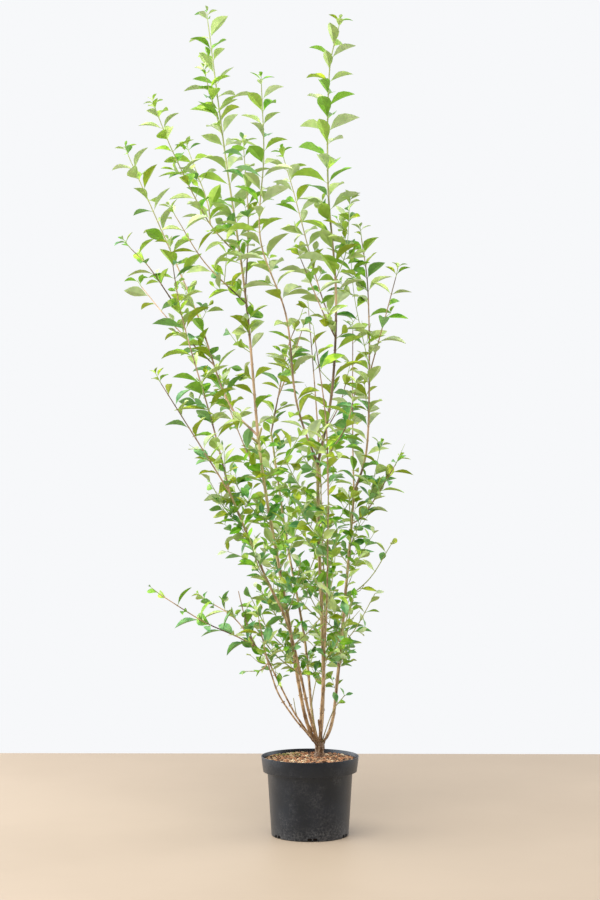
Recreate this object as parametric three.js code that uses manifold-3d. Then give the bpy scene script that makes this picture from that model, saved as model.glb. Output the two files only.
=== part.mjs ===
// A potted privet: a tall many-stemmed shrub in a black nursery pot.
// Sizes are in millimetres with +Z up. The origin is the middle of the pot's flat underside,
// +X is the right of the front view and +Y points away from it.

import * as THREE from 'three';
import { mergeVertices } from 'three/addons/utils/BufferGeometryUtils.js';
import Module from 'manifold-3d';

// Pot
const POT_HEIGHT = 181;
const POT_WALL = 2;
const POT_FLOOR = 3;
const POT_FOOT_RADIUS = 88.8;
const POT_SHOULDER_RADIUS = 98;
const POT_SIDES = 48;
const COLLAR_HEIGHT = 35;
const COLLAR_LOW_RADIUS = 108;
const COLLAR_TOP_RADIUS = 112.5;
const FOOT_CHAMFER = 1.8;

// Drain slots, cut in pairs through the foot of the pot with a rib left between the two of a pair
const SLOT_PAIRS = 6;
const SLOT_WIDTH = 10;
const SLOT_HEIGHT = 8;
const SLOT_RIB = 2.5;
const SLOT_REACH = 9;
const SLOT_FIRST_TURN = THREE.MathUtils.degToRad(34);

// Soil
const SOIL_EDGE_HEIGHT = 168;
const SOIL_HEIGHT = 172;
const SOIL_FLAT_RADIUS = 60;
const SOIL_SIDES = 40;

// Clearance that neighbouring solids keep
const GAP = 0.3;

// Trunk: the short flared stool that every stem grows from
const STOOL = { x: 22, y: 20 };
const STOOL_FORK_HEIGHT = 200;
const STOOL_PROFILE = [
  { height: SOIL_HEIGHT + GAP, radius: 16 },
  { height: SOIL_HEIGHT + 5, radius: 12.5 },
  { height: SOIL_HEIGHT + 18, radius: 10.5 },
  { height: SOIL_HEIGHT + 32, radius: 11.5 },
  { height: SOIL_HEIGHT + 42, radius: 9 },
];
const STOOL_SIDES = 10;
const STOOL_LEAN = { x: 2, y: 0 };

// Sections of the limbs
const BOUGH_SIDES = 8;
const BASAL_SIDES = 4;
const LIMB_STEP = 105;
const SPRAY_STEP = 75;
const TWIG_STEP = 70;
const BASAL_STEP = 40;
const STATION_MARGIN = 6;
const CURVE_TENSION = 0.5;

// Boughs: each leaves the stool, passes the listed points and ends at its last one, its fork.
// `clear` is the distance along it at which it has parted from the others and leaves the trunk.
const BOUGHS = [
  {
    name: 'bough_left_tall', radii: [4.5, 3.5], clear: 88, sprays: 5, turn: 150,
    points: [[-8, -6, 280], [-55, -45, 545], [-100, -65, 785], [-118, -65, 915]],
  },
  {
    name: 'bough_right_tall', radii: [4.9, 3.9], clear: 66, sprays: 5, turn: 20,
    points: [[26, 16, 260], [31, 25, 390], [20, 10, 700], [18, 0, 850]],
  },
  {
    name: 'bough_right', radii: [4.4, 3.1], clear: 72, sprays: 5, turn: 75,
    points: [[50, 42, 248], [66, 70, 370], [94, 110, 665], [104, 115, 785]],
  },
  {
    name: 'bough_left_low', radii: [3.8, 2.7], clear: 100, sprays: 6, turn: 190,
    points: [[-2, -22, 286], [-45, -80, 480], [-100, -118, 600], [-177, -155, 785]],
  },
  {
    name: 'bough_back_left', radii: [3.5, 2.4], clear: 84, sprays: 4, turn: 170,
    points: [[0, 28, 273], [-18, 80, 448], [-56, 125, 673], [-94, 145, 930]],
  },
  {
    name: 'bough_low_left', radii: [2.6, 1.9], clear: 74, sprays: 0, turn: 0,
    points: [[-15, -12, 250], [-40, -36, 292], [-72, -58, 358], [-100, -78, 420]],
  },
  {
    name: 'bough_low_left_twin', radii: [2.5, 1.9], clear: 74, sprays: 0, turn: 0,
    points: [[-10, -26, 240], [-36, -54, 275], [-70, -82, 331], [-90, -105, 390]],
  },
  {
    name: 'bough_back', radii: [3.6, 2.5], clear: 92, sprays: 3, turn: 60,
    points: [[34, 52, 280], [40, 112, 500], [25, 190, 800]],
  },
  {
    name: 'bough_front', radii: [3.4, 2.4], clear: 92, sprays: 3, turn: 300,
    points: [[26, -14, 285], [38, -88, 520], [42, -160, 780]],
  },
];

// Thin bare shoots and pruned stubs at the stool, part of the trunk
const BASAL_SHOOTS = [
  { radii: [1.6, 1], points: [[52, 6, 280], [80, -4, 320]] },
  { radii: [1.6, 1], points: [[-26, 4, 262], [-38, 2, 312]] },
  { radii: [1.6, 1], points: [[8, 2, 262], [4, 8, 300], [18, 2, 372]] },
  { radii: [3.6, 3.2], points: [[8, 4, 236], [-8, 8, 256]] },
  { radii: [3.8, 3.4], points: [[24, 4, 236], [20, -2, 262]] },
];

// Main shoots of the masses. The first shoot of a mass grows on from the bough's tip, or from its
// side where `at` gives a share of the bough's length. The others branch off it or off each other.
const MASSES = [
  {
    name: 'mass_left_leader', from: 'bough_left_tall', shoots: [
      { id: 'lead', habit: 'leader', radii: [3.2, 1.2],
        points: [[-148, -38, 1240], [-199, 10, 1585], [-240, 42, 1892]] },
      { id: 'outer', on: 'lead', at: 0.42, habit: 'branch',
        points: [[-231, -80, 1404], [-306, -120, 1550], [-345, -128, 1645]] },
      { id: 'outer_fork', on: 'outer', at: 0.28, habit: 'branch',
        points: [[-238, -20, 1461], [-284, 42, 1585]] },
      { id: 'low', on: 'lead', at: 0.31, habit: 'branch',
        points: [[-236, -110, 1305], [-300, -155, 1405]] },
      { id: 'inner', on: 'lead', at: 0.33, habit: 'branch',
        points: [[-140, -75, 1405], [-150, -80, 1565]] },
      { id: 'high', on: 'lead', at: 0.72, habit: 'branch',
        points: [[-228, -8, 1700], [-240, -18, 1745]] },
    ],
  },
  {
    name: 'mass_left_outer', from: 'bough_left_tall', shoots: [
      { id: 'lead', habit: 'leader', radii: [2.6, 1.1],
        points: [[-191, -20, 1000], [-266, 60, 1207], [-362, 130, 1427], [-440, 168, 1600]] },
      { id: 'low', on: 'lead', at: 0.27, habit: 'branch',
        points: [[-328, 75, 1188], [-405, 135, 1280]] },
    ],
  },
  {
    name: 'mass_left_rear', from: 'bough_left_tall', at: 0.84, shoots: [
      { id: 'lead', habit: 'branch', points: [[-150, 0, 890], [-200, 60, 1010]] },
    ],
  },
  {
    name: 'mass_right_leader', from: 'bough_right_tall', shoots: [
      { id: 'lead', habit: 'leader', radii: [3.4, 1.2],
        points: [[51, -20, 1022], [60, -25, 1250], [42, -10, 1500], [45, 8, 1760], [66, 10, 1866]] },
      { id: 'inner', on: 'lead', at: 0.31, habit: 'branch',
        points: [[23, 40, 1259], [-36, 100, 1489], [-62, 114, 1580]] },
      { id: 'low', on: 'lead', at: 0.29, habit: 'branch',
        points: [[27, -62, 1205], [-20, -98, 1315]] },
    ],
  },
  {
    name: 'mass_middle', from: 'bough_right_tall', shoots: [
      { id: 'lead', habit: 'leader', radii: [2.6, 1.1],
        points: [
          [-30, -60, 992], [-53, -110, 1185], [-110, -142, 1355], [-102, -155, 1540], [-107, -158, 1690],
        ] },
    ],
  },
  {
    name: 'mass_right_outer', from: 'bough_right', shoots: [
      { id: 'lead', habit: 'leader', radii: [2.8, 1.1],
        points: [[134, 110, 890], [140, 95, 1083], [136, 75, 1270], [121, 60, 1385]] },
      { id: 'side', on: 'lead', at: 0.47, habit: 'branch',
        points: [[176, 50, 1197], [200, 22, 1288]] },
    ],
  },
  {
    name: 'mass_right_rear', from: 'bough_right', shoots: [
      { id: 'lead', habit: 'branch', radii: [2, 1],
        points: [[102, 150, 886], [102, 188, 1020], [103, 208, 1180]] },
    ],
  },
  {
    name: 'mass_right_side', from: 'bough_right', at: 0.88, shoots: [
      { id: 'lead', habit: 'branch', points: [[132, 98, 740], [198, 36, 850]] },
    ],
  },
  {
    name: 'mass_left_low', from: 'bough_left_low', shoots: [
      { id: 'lead', habit: 'branch', radii: [1.9, 1],
        points: [[-218, -178, 853], [-325, -212, 1025]] },
    ],
  },
  {
    name: 'mass_left_fan', from: 'bough_left_low', shoots: [
      { id: 'lead', habit: 'leader', radii: [2.2, 1],
        points: [[-221, -120, 951], [-288, -95, 1180], [-316, -86, 1335]] },
      { id: 'side', on: 'lead', at: 0.74, habit: 'branch',
        points: [[-356, -142, 1287], [-398, -160, 1330]] },
    ],
  },
  {
    name: 'mass_back_left', from: 'bough_back_left', shoots: [
      { id: 'lead', habit: 'branch', radii: [2, 1],
        points: [[-76, 158, 1025], [-54, 182, 1140], [-26, 194, 1210]] },
      { id: 'side', on: 'lead', at: 0.3, habit: 'branch',
        points: [[-52, 120, 1078], [-18, 92, 1175]] },
    ],
  },
  {
    name: 'mass_low_left_arm', from: 'bough_low_left', shoots: [
      { id: 'lead', habit: 'arm', radii: [1.7, 1],
        points: [[-154, -112, 459], [-235, -155, 500], [-330, -184, 562]] },
      { id: 'upper', on: 'lead', at: 0.07, habit: 'arm',
        points: [[-172, -66, 502], [-236, -40, 540]] },
      { id: 'upright', on: 'lead', at: 0.12, habit: 'arm',
        points: [[-148, -84, 510], [-162, -66, 562]] },
    ],
  },
  {
    name: 'mass_low_left_foot', from: 'bough_low_left_twin', shoots: [
      { id: 'lead', habit: 'arm', radii: [1.7, 1],
        points: [[-102, -128, 445], [-112, -158, 505]] },
      { id: 'low', on: 'lead', at: 0.12, habit: 'arm',
        points: [[-108, -120, 390], [-124, -132, 388]] },
    ],
  },
  {
    name: 'mass_back', from: 'bough_back', shoots: [
      { id: 'lead', habit: 'leader', radii: [2.1, 1],
        points: [[15, 226, 980], [-5, 262, 1235]] },
      { id: 'side', on: 'lead', at: 0.25, habit: 'branch',
        points: [[70, 262, 1000], [92, 288, 1080]] },
    ],
  },
  {
    name: 'mass_front', from: 'bough_front', shoots: [
      { id: 'lead', habit: 'leader', radii: [2, 1],
        points: [[36, -204, 950], [12, -246, 1125]] },
      { id: 'side', on: 'lead', at: 0.25, habit: 'branch',
        points: [[80, -222, 930], [100, -240, 1005]] },
    ],
  },
];

// Habits: how a shoot carries its leaves and twigs. `first` is the distance to its first leaf and
// `spacing` the distances between leaves at its foot and its tip. `leaf` is the leaf's length at the
// foot, middle and tip. `twigShare` is the share of leaves that have a twig, up to the share
// `twigsTo` of the shoot, and `twig` is the range of twig lengths.
const HABITS = {
  leader: {
    sides: 4, first: 34, spacing: [54, 40], leaf: [58, 70, 50],
    twigShare: 0.26, twigsTo: 0.36, twig: [60, 100],
  },
  branch: {
    sides: 3, first: 32, spacing: [45, 36], leaf: [52, 62, 46],
    twigShare: 0.16, twigsTo: 0.3, twig: [50, 80],
  },
  arm: {
    sides: 3, first: 30, spacing: [42, 34], leaf: [42, 46, 40],
    twigShare: 0.15, twigsTo: 0.5, twig: [45, 60],
  },
  spray: {
    sides: 3, first: 26, spacing: [36, 30], leaf: [42, 50, 42],
    twigShare: 0.26, twigsTo: 0.6, twig: [45, 70],
  },
  twig: {
    sides: 3, first: 26, spacing: [32, 28], leaf: [38, 42, 38],
    twigShare: 0, twigsTo: 0, twig: [0, 0],
  },
};
const BRANCH_RADII = [1.7, 1];
const TWIG_RADII = [1.3, 0.9];
const BARE_TIP = 12;

// Sprays: the leafy side shoots that a rule sets round each bough's middle stretch
const SPRAY_STRETCH = [0.24, 0.93];
const SPRAY_LENGTH = [190, 120];
const SPRAY_RADII = [1.6, 1];
const SPRAY_OUT = 0.64;
const SPRAY_UP = 0.76;
const SPRAY_KNEE = { out: 0.55, up: 0.4 };
const SPRAY_LENGTH_SPREAD = 0.3;
const GOLDEN_TURN = 137.5;

// Twigs
const TWIG_SPREAD = 1.15;
const TWIG_LIFT = 0.55;

// Leaves: each stands for a pair, so it is larger than life. The shares are of a leaf's length.
const LEAF_SCALE = 1.3;
const LEAF_WIDTH = 0.44;
const LEAF_WIDEST = 0.45;
const LEAF_THICKNESS = 0.025;
const LEAF_ARCH = 0.09;
const LEAF_FOLD = 0.15;

// A leaf's faces over its root, edge, upper rib, edge, under rib and tip
const LEAF_FACES = [0, 2, 1, 0, 3, 2, 0, 4, 3, 0, 1, 4, 5, 1, 2, 5, 2, 3, 5, 3, 4, 5, 4, 1];

// How leaves stand, in degrees from their twig and round it, and how far they turn to the light
const LEAF_RISE = 58;
const TIP_LEAF_RISE = 14;
const TIP_LEAF_SINK = 6;
const LEAF_RISE_SPREAD = 32;
const LEAF_TURN_SPREAD = 24;
const LEAF_TO_LIGHT = 0.35;
const LEAF_SIZE_SPREAD = 0.24;

// How far past a twig's middle a leaf's root lies, as a share of the twig's radius
const ROOT_SINK = 0.45;

// The space of a mass: how far from its stems its twigs and leaves may reach
const MASS_REACH = 150;

// How far along a stem its clear cut end is looked for
const STEM_SEARCH = 24;
const STEM_SEARCH_STEP = 0.25;

// The tolerance that joined solids are cleaned to
const JOIN_TOLERANCE = 0.05;

// Numbers that mix a name into a stream of even shares
const NAME_START = 2166136261;
const NAME_FACTOR = 16777619;
const STREAM_STEP = 0x6d2b79f5;
const STREAM_FACTOR = 61;
const STREAM_SHIFTS = [15, 7, 14];
const STREAM_RANGE = 2 ** 32;

const UP = new THREE.Vector3(0, 0, 1);
const QUARTER_TURN = 90;
const HALF_TURN = 180;
const WELD_DISTANCE = 1e-4;

const MATERIALS = {
  pot: { color: 0x2b2c2e, roughness: 0.62, metalness: 0 },
  soil: { color: 0x7a5233, roughness: 0.95, metalness: 0 },
  bark: { color: 0xa98a63, roughness: 0.85, metalness: 0 },
  leaf: { color: 0x7fa544, roughness: 0.5, metalness: 0 },
};

const wasm = await Module();
wasm.setup();

const radians = THREE.MathUtils.degToRad;
const blend = THREE.MathUtils.lerp;

// A vector from a list of its three parts.
function vector([x, y, z]) {
  return new THREE.Vector3(x, y, z);
}

// Turns a closed geometry into a solid that can be joined and cut.
function solidOf(geometry) {
  const bare = geometry.clone();
  bare.deleteAttribute('normal');
  bare.deleteAttribute('uv');
  const merged = mergeVertices(bare, WELD_DISTANCE);
  const mesh = new wasm.Mesh({
    numProp: 3,
    vertProperties: new Float32Array(merged.attributes.position.array),
    triVerts: new Uint32Array(merged.index.array),
  });
  return new wasm.Manifold(mesh);
}

// Turns a solid back into a geometry.
function geometryOf(solid) {
  const mesh = solid.getMesh();
  const geometry = new THREE.BufferGeometry();
  geometry.setAttribute('position', new THREE.BufferAttribute(mesh.vertProperties, 3));
  geometry.setIndex(new THREE.BufferAttribute(mesh.triVerts, 1));
  geometry.computeVertexNormals();
  return geometry;
}

// Joins pieces into one body. Hollows that the joining sealed and loose scraps come out as bodies
// of their own, so keeping only the largest body fills the first and drops the second.
function joined(pieces) {
  const whole = wasm.Manifold.union(pieces).simplify(JOIN_TOLERANCE);
  const bodies = whole.decompose();
  return bodies.reduce((best, body) => (body.volume() > best.volume() ? body : best));
}

// A stream of numbers from 0 to 1 that is always the same for the same name.
function stream(name) {
  const [first, second, third] = STREAM_SHIFTS;
  let state = NAME_START;
  for (const letter of name) {
    state = Math.imul(state ^ letter.charCodeAt(0), NAME_FACTOR);
  }
  return () => {
    state = (state + STREAM_STEP) | 0;
    let mixed = Math.imul(state ^ (state >>> first), 1 | state);
    mixed = (mixed + Math.imul(mixed ^ (mixed >>> second), STREAM_FACTOR | mixed)) ^ mixed;
    return ((mixed ^ (mixed >>> third)) >>> 0) / STREAM_RANGE;
  };
}

// A factor round 1 that spreads over the given width.
function spread(draw, width) {
  return 1 + (draw() - 0.5) * width;
}

// An angle round 0 that spreads over the given width.
function sway(draw, width) {
  return (draw() - 0.5) * width;
}

// A limb's centre line with its taper, and a frame at any distance along it.
// The line is a curve through the given points, followed in straight stretches between stations.
class Limb {
  constructor(name, points, radii, sides, step = LIMB_STEP) {
    this.name = name;
    this.radii = radii;
    this.sides = sides;
    this.curve = new THREE.CatmullRomCurve3(points, false, 'catmullrom', CURVE_TENSION);
    this.length = this.curve.getLength();
    this.stretches = Math.max(1, Math.round(this.length / step));
    this.stations = this.curve.getSpacedPoints(this.stretches);
    const chord = points[points.length - 1].clone().sub(points[0]);
    const alongX = Math.abs(chord.x) > Math.abs(chord.y);
    this.reference = alongX ? new THREE.Vector3(0, 1, 0) : new THREE.Vector3(1, 0, 0);
  }

  shareAt(distance) {
    return THREE.MathUtils.clamp(distance / this.length, 0, 1);
  }

  pointAt(distance) {
    const station = this.shareAt(distance) * this.stretches;
    const index = Math.min(Math.floor(station), this.stretches - 1);
    return this.stations[index].clone().lerp(this.stations[index + 1], station - index);
  }

  radiusAt(distance) {
    return blend(this.radii[0], this.radii[1], this.shareAt(distance));
  }

  frameAt(distance) {
    const tangent = this.curve.getTangentAt(this.shareAt(distance));
    const lean = this.reference.dot(tangent);
    const side = this.reference.clone().addScaledVector(tangent, -lean).normalize();
    const front = tangent.clone().cross(side);
    return { point: this.pointAt(distance), tangent, side, front };
  }

  outwardAt(distance, degrees) {
    const { side, front } = this.frameAt(distance);
    const angle = radians(degrees);
    return side.multiplyScalar(Math.cos(angle)).addScaledVector(front, Math.sin(angle));
  }

  distanceTo(spot) {
    const nearest = new THREE.Vector3();
    const gaps = this.stations.slice(1).map((end, index) => {
      new THREE.Line3(this.stations[index], end).closestPointToPoint(spot, true, nearest);
      return nearest.distanceTo(spot);
    });
    return Math.min(...gaps);
  }

  // The limb's own surface between two distances: a cylinder bent along the stations between them.
  tube(from = 0, to = this.length) {
    const spacing = this.length / this.stretches;
    const inner = this.stations.map((_, index) => index * spacing)
      .filter((distance) => distance > from + STATION_MARGIN && distance < to - STATION_MARGIN);
    const rings = [from, ...inner, to];
    const geometry = new THREE.CylinderGeometry(1, 1, 1, this.sides, rings.length - 1);
    const spots = geometry.attributes.position;
    for (let i = 0; i < spots.count; i += 1) {
      const distance = rings[Math.round((spots.getY(i) + 0.5) * (rings.length - 1))];
      const { point, side, front } = this.frameAt(distance);
      const radius = this.radiusAt(distance);
      point.addScaledVector(side, spots.getZ(i) * radius).addScaledVector(front, spots.getX(i) * radius);
      spots.setXYZ(i, point.x, point.y, point.z);
    }
    return solidOf(geometry);
  }
}

// Every placed piece with the node that owns it, so that new pieces can keep clear of them.
const placed = [];

function place(owner, solid) {
  placed.push({ owner, solid, box: solid.boundingBox() });
  return solid;
}

function boxesMeet(a, b, margin) {
  const overlap = (axis) => Math.min(a.max[axis], b.max[axis]) - Math.max(a.min[axis], b.min[axis]);
  return [0, 1, 2].every((axis) => overlap(axis) > -margin);
}

// Whether a solid keeps the gap to every placed piece of the other nodes.
function isClear(owner, solid) {
  const box = solid.boundingBox();
  const reach = GAP * 2;
  return placed
    .filter((other) => other.owner !== owner && boxesMeet(box, other.box, reach))
    .every((other) => solid.minGap(other.solid, reach) > GAP);
}

// Pot: a turned shell with a collar and drain slots through its foot.
function makePot() {
  const step = POT_HEIGHT - COLLAR_HEIGHT;
  const outline = [
    [0, 0],
    [POT_FOOT_RADIUS - FOOT_CHAMFER, 0],
    [POT_FOOT_RADIUS, FOOT_CHAMFER],
    [POT_SHOULDER_RADIUS, step],
    [COLLAR_LOW_RADIUS, step],
    [COLLAR_TOP_RADIUS, POT_HEIGHT],
    [COLLAR_TOP_RADIUS - POT_WALL, POT_HEIGHT],
    [COLLAR_LOW_RADIUS - POT_WALL, step + POT_WALL],
    [POT_SHOULDER_RADIUS - POT_WALL, step + POT_WALL],
    [POT_FOOT_RADIUS - POT_WALL, POT_FLOOR],
    [0, POT_FLOOR],
  ];
  const profile = outline.map(([radius, height]) => new THREE.Vector2(radius, height));
  const shell = new THREE.LatheGeometry(profile, POT_SIDES).rotateX(Math.PI / 2);
  const slots = [];
  for (let pair = 0; pair < SLOT_PAIRS; pair += 1) {
    for (const hand of [-1, 1]) {
      const slot = new THREE.BoxGeometry(SLOT_REACH * 2, SLOT_WIDTH, SLOT_HEIGHT * 2);
      slot.translate(POT_FOOT_RADIUS, hand * (SLOT_WIDTH + SLOT_RIB) / 2, 0);
      slot.rotateZ(SLOT_FIRST_TURN + (pair * 2 * Math.PI) / SLOT_PAIRS);
      slots.push(solidOf(slot));
    }
  }
  return solidOf(shell).subtract(wasm.Manifold.union(slots));
}

// Soil: fills the pot to just under its rim, with a low mound that is flat under the trunk.
function makeSoil() {
  const step = POT_HEIGHT - COLLAR_HEIGHT + POT_WALL;
  const inset = POT_WALL + GAP;
  const collarSlope = (COLLAR_TOP_RADIUS - COLLAR_LOW_RADIUS) / COLLAR_HEIGHT;
  const edgeRadius = COLLAR_LOW_RADIUS + collarSlope * (SOIL_EDGE_HEIGHT - step) - inset;
  const outline = [
    [0, POT_FLOOR + GAP],
    [POT_FOOT_RADIUS - inset, POT_FLOOR + GAP],
    [POT_SHOULDER_RADIUS - inset, step + GAP],
    [COLLAR_LOW_RADIUS - inset, step + GAP],
    [edgeRadius, SOIL_EDGE_HEIGHT],
    [SOIL_FLAT_RADIUS, SOIL_HEIGHT],
    [0, SOIL_HEIGHT],
  ];
  const profile = outline.map(([radius, height]) => new THREE.Vector2(radius, height));
  return solidOf(new THREE.LatheGeometry(profile, SOIL_SIDES).rotateX(Math.PI / 2));
}

// The limb of a stem that starts inside the stool.
function stoolLimb(name, points, radii, sides, step) {
  const start = new THREE.Vector3(STOOL.x, STOOL.y, STOOL_FORK_HEIGHT);
  return new Limb(name, [start, ...points.map(vector)], radii, sides, step);
}

// Trunk: the flared stool, fused with the foot of every bough and the basal shoots.
function makeTrunk(boughs) {
  const foot = STOOL_PROFILE[0];
  const crown = STOOL_PROFILE[STOOL_PROFILE.length - 1];
  const outline = [
    new THREE.Vector2(0, foot.height),
    ...STOOL_PROFILE.map(({ radius, height }) => new THREE.Vector2(radius, height)),
    new THREE.Vector2(0, crown.height),
  ];
  const stool = new THREE.LatheGeometry(outline, STOOL_SIDES).rotateX(Math.PI / 2);
  const spots = stool.attributes.position;
  for (let i = 0; i < spots.count; i += 1) {
    const share = (spots.getZ(i) - foot.height) / (crown.height - foot.height);
    spots.setX(i, spots.getX(i) + STOOL.x + STOOL_LEAN.x * share);
    spots.setY(i, spots.getY(i) + STOOL.y + STOOL_LEAN.y * share);
  }
  const feet = boughs.map(({ limb, clear }) => limb.tube(0, clear));
  const shoots = BASAL_SHOOTS.map(({ points, radii }, index) => {
    const limb = stoolLimb(`basal_${index}`, points, radii, BASAL_SIDES, BASAL_STEP);
    return limb.tube();
  });
  return joined([solidOf(stool), ...feet, ...shoots]);
}

// Leaf: a thin blade of eight faces, folded along its rib and arched, with its root inside the twig.
function makeLeaf(start, tangent, outward, length, rise, radius) {
  const angle = radians(rise);
  const ahead = tangent.clone().multiplyScalar(Math.cos(angle)).addScaledVector(outward, Math.sin(angle));
  const face = tangent.clone().multiplyScalar(Math.sin(angle)).addScaledVector(outward, -Math.cos(angle));
  face.addScaledVector(UP, LEAF_TO_LIGHT).normalize();
  ahead.addScaledVector(face, -ahead.dot(face)).normalize();
  const across = face.clone().cross(ahead);
  const root = -ROOT_SINK * radius;
  const reach = length + radius;
  const at = (along, wide, high) => start.clone()
    .addScaledVector(ahead, along)
    .addScaledVector(across, wide)
    .addScaledVector(face, high);
  const middle = LEAF_WIDEST * reach;
  const halfWidth = (LEAF_WIDTH * length) / 2;
  const halfThick = (LEAF_THICKNESS * reach) / 2;
  const arch = LEAF_ARCH * length;
  const edge = arch + LEAF_FOLD * length;
  const corners = [
    at(root, 0, 0),
    at(middle, halfWidth, edge),
    at(middle, 0, arch + halfThick),
    at(middle, -halfWidth, edge),
    at(middle, 0, arch - halfThick),
    at(reach, 0, 0),
  ];
  const geometry = new THREE.BufferGeometry().setFromPoints(corners);
  geometry.setIndex(LEAF_FACES);
  return { solid: solidOf(geometry), tip: corners[corners.length - 1] };
}

function leafLengthAt(habit, share) {
  const [foot, middle, tip] = habit.leaf;
  return share < 0.5 ? blend(foot, middle, share * 2) : blend(middle, tip, share * 2 - 1);
}

// The leaf nodes of a shoot: distances from its foot, closer together towards the tip.
function nodesOf(limb, habit) {
  const nodes = [];
  let distance = habit.first;
  while (distance < limb.length - BARE_TIP) {
    const share = distance / limb.length;
    nodes.push({ distance, share });
    distance += blend(habit.spacing[0], habit.spacing[1], share);
  }
  return nodes;
}

// A twig that leaves a limb on one side and bends up.
function twigLimb(parent, node, index, degrees, length) {
  const { point, tangent } = parent.frameAt(node.distance);
  const outward = parent.outwardAt(node.distance, degrees);
  const ahead = tangent.addScaledVector(outward, TWIG_SPREAD).normalize();
  const middle = point.clone().addScaledVector(ahead, length / 2);
  ahead.addScaledVector(UP, TWIG_LIFT).normalize();
  const tip = middle.clone().addScaledVector(ahead, length / 2);
  const points = [point, middle, tip];
  return new Limb(`${parent.name}/${index}`, points, TWIG_RADII, HABITS.twig.sides, TWIG_STEP);
}

// The twigs of a shoot, by the seeded rule.
function twigsOf(limb, habit) {
  return nodesOf(limb, habit).flatMap((node, index) => {
    const draw = stream(`${limb.name}/twig/${index}`);
    const wanted = draw() < habit.twigShare && node.share < habit.twigsTo;
    const length = blend(habit.twig[0], habit.twig[1], draw());
    const turn = index * QUARTER_TURN + HALF_TURN + sway(draw, LEAF_TURN_SPREAD);
    return wanted ? [twigLimb(limb, node, index, turn, length)] : [];
  });
}

// The leaves of a shoot, one at each node in turn round it and one at its tip.
function leavesOf(limb, habit) {
  const leaves = nodesOf(limb, habit).map((node, index) => {
    const draw = stream(`${limb.name}/leaf/${index}`);
    const length = leafLengthAt(habit, node.share) * spread(draw, LEAF_SIZE_SPREAD) * LEAF_SCALE;
    const rise = LEAF_RISE + sway(draw, LEAF_RISE_SPREAD);
    const turn = index * QUARTER_TURN + sway(draw, LEAF_TURN_SPREAD);
    const { point, tangent } = limb.frameAt(node.distance);
    const outward = limb.outwardAt(node.distance, turn);
    return makeLeaf(point, tangent, outward, length, rise, limb.radiusAt(node.distance));
  });
  const { point, tangent, side } = limb.frameAt(limb.length);
  point.addScaledVector(tangent, -TIP_LEAF_SINK);
  leaves.push(makeLeaf(point, tangent, side, habit.leaf[2], TIP_LEAF_RISE, limb.radiusAt(limb.length)));
  return leaves;
}

// The part of a mass's first stem that has left its bough, found by moving its cut end along.
// There is none where the stem would run into a neighbour.
function clearStem(owner, limb) {
  for (let from = 0; from < STEM_SEARCH; from += STEM_SEARCH_STEP) {
    const solid = limb.tube(from);
    if (isClear(owner, solid)) {
      return solid;
    }
  }
  return undefined;
}

// Places a mass's stems and returns whether they all keep clear of their neighbours.
function placeStems(mass) {
  const [first, ...others] = mass.stems.map(({ limb }) => limb);
  const solids = [clearStem(mass.name, first), ...others.map((limb) => limb.tube())];
  const free = solids.every((solid) => solid && isClear(mass.name, solid));
  mass.pieces = free ? solids.map((solid) => place(mass.name, solid)) : [];
  return free;
}

// The stems of one mass: its first shoot and the ones that branch off it.
function massLimbs(mass, boughs) {
  const bough = boughs.find(({ name }) => name === mass.from);
  const limbs = new Map();
  for (const shoot of mass.shoots) {
    const parent = limbs.get(shoot.on);
    const start = parent
      ? parent.limb.pointAt(parent.limb.length * shoot.at)
      : bough.limb.pointAt(bough.limb.length * (mass.at ?? 1));
    const habit = HABITS[shoot.habit];
    const radii = shoot.radii ?? BRANCH_RADII;
    const points = [start, ...shoot.points.map(vector)];
    const limb = new Limb(`${mass.name}/${shoot.id}`, points, radii, habit.sides);
    limbs.set(shoot.id, { limb, habit });
  }
  return [...limbs.values()];
}

// The sprays that the rule sets round a bough, each a mass of its own.
function spraysOf(bough) {
  const sprays = [];
  for (let index = 0; index < bough.sprays; index += 1) {
    const name = `${bough.name.replace('bough', 'spray')}_${index + 1}`;
    const draw = stream(name);
    const order = (index + 0.5) / bough.sprays;
    const at = blend(SPRAY_STRETCH[0], SPRAY_STRETCH[1], order);
    const length = blend(SPRAY_LENGTH[0], SPRAY_LENGTH[1], order) * spread(draw, SPRAY_LENGTH_SPREAD);
    const turn = radians(bough.turn + index * GOLDEN_TURN);
    const outward = new THREE.Vector3(Math.cos(turn), Math.sin(turn), 0);
    const start = bough.limb.pointAt(bough.limb.length * at);
    const middle = start.clone()
      .addScaledVector(outward, length * SPRAY_OUT * SPRAY_KNEE.out)
      .addScaledVector(UP, length * SPRAY_UP * SPRAY_KNEE.up);
    const tip = start.clone()
      .addScaledVector(outward, length * SPRAY_OUT)
      .addScaledVector(UP, length * SPRAY_UP);
    const points = [start, middle, tip];
    const limb = new Limb(`${name}/lead`, points, SPRAY_RADII, HABITS.spray.sides, SPRAY_STEP);
    sprays.push({ name, stems: [{ limb, habit: HABITS.spray }] });
  }
  return sprays;
}

function meshOf(name, solid, look) {
  const mesh = new THREE.Mesh(geometryOf(solid), new THREE.MeshStandardMaterial(MATERIALS[look]));
  mesh.name = name;
  return mesh;
}

// Whether a spot lies in a mass's own space: near its stems and above the pot.
function inSpace(mass, spot) {
  return spot.z > POT_HEIGHT && mass.stems.some(({ limb }) => limb.distanceTo(spot) < MASS_REACH);
}

// Adds a piece to a mass unless it would leave the mass's space or touch another node.
function addPiece(mass, solid, tip) {
  const keep = inSpace(mass, tip) && isClear(mass.name, solid);
  if (keep) {
    mass.pieces.push(place(mass.name, solid));
  }
  return keep;
}

function addTwigs(mass) {
  const twigs = mass.stems.flatMap(({ limb, habit }) => twigsOf(limb, habit));
  mass.twigs = twigs.filter((limb) => addPiece(mass, limb.tube(), limb.pointAt(limb.length)));
}

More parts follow.
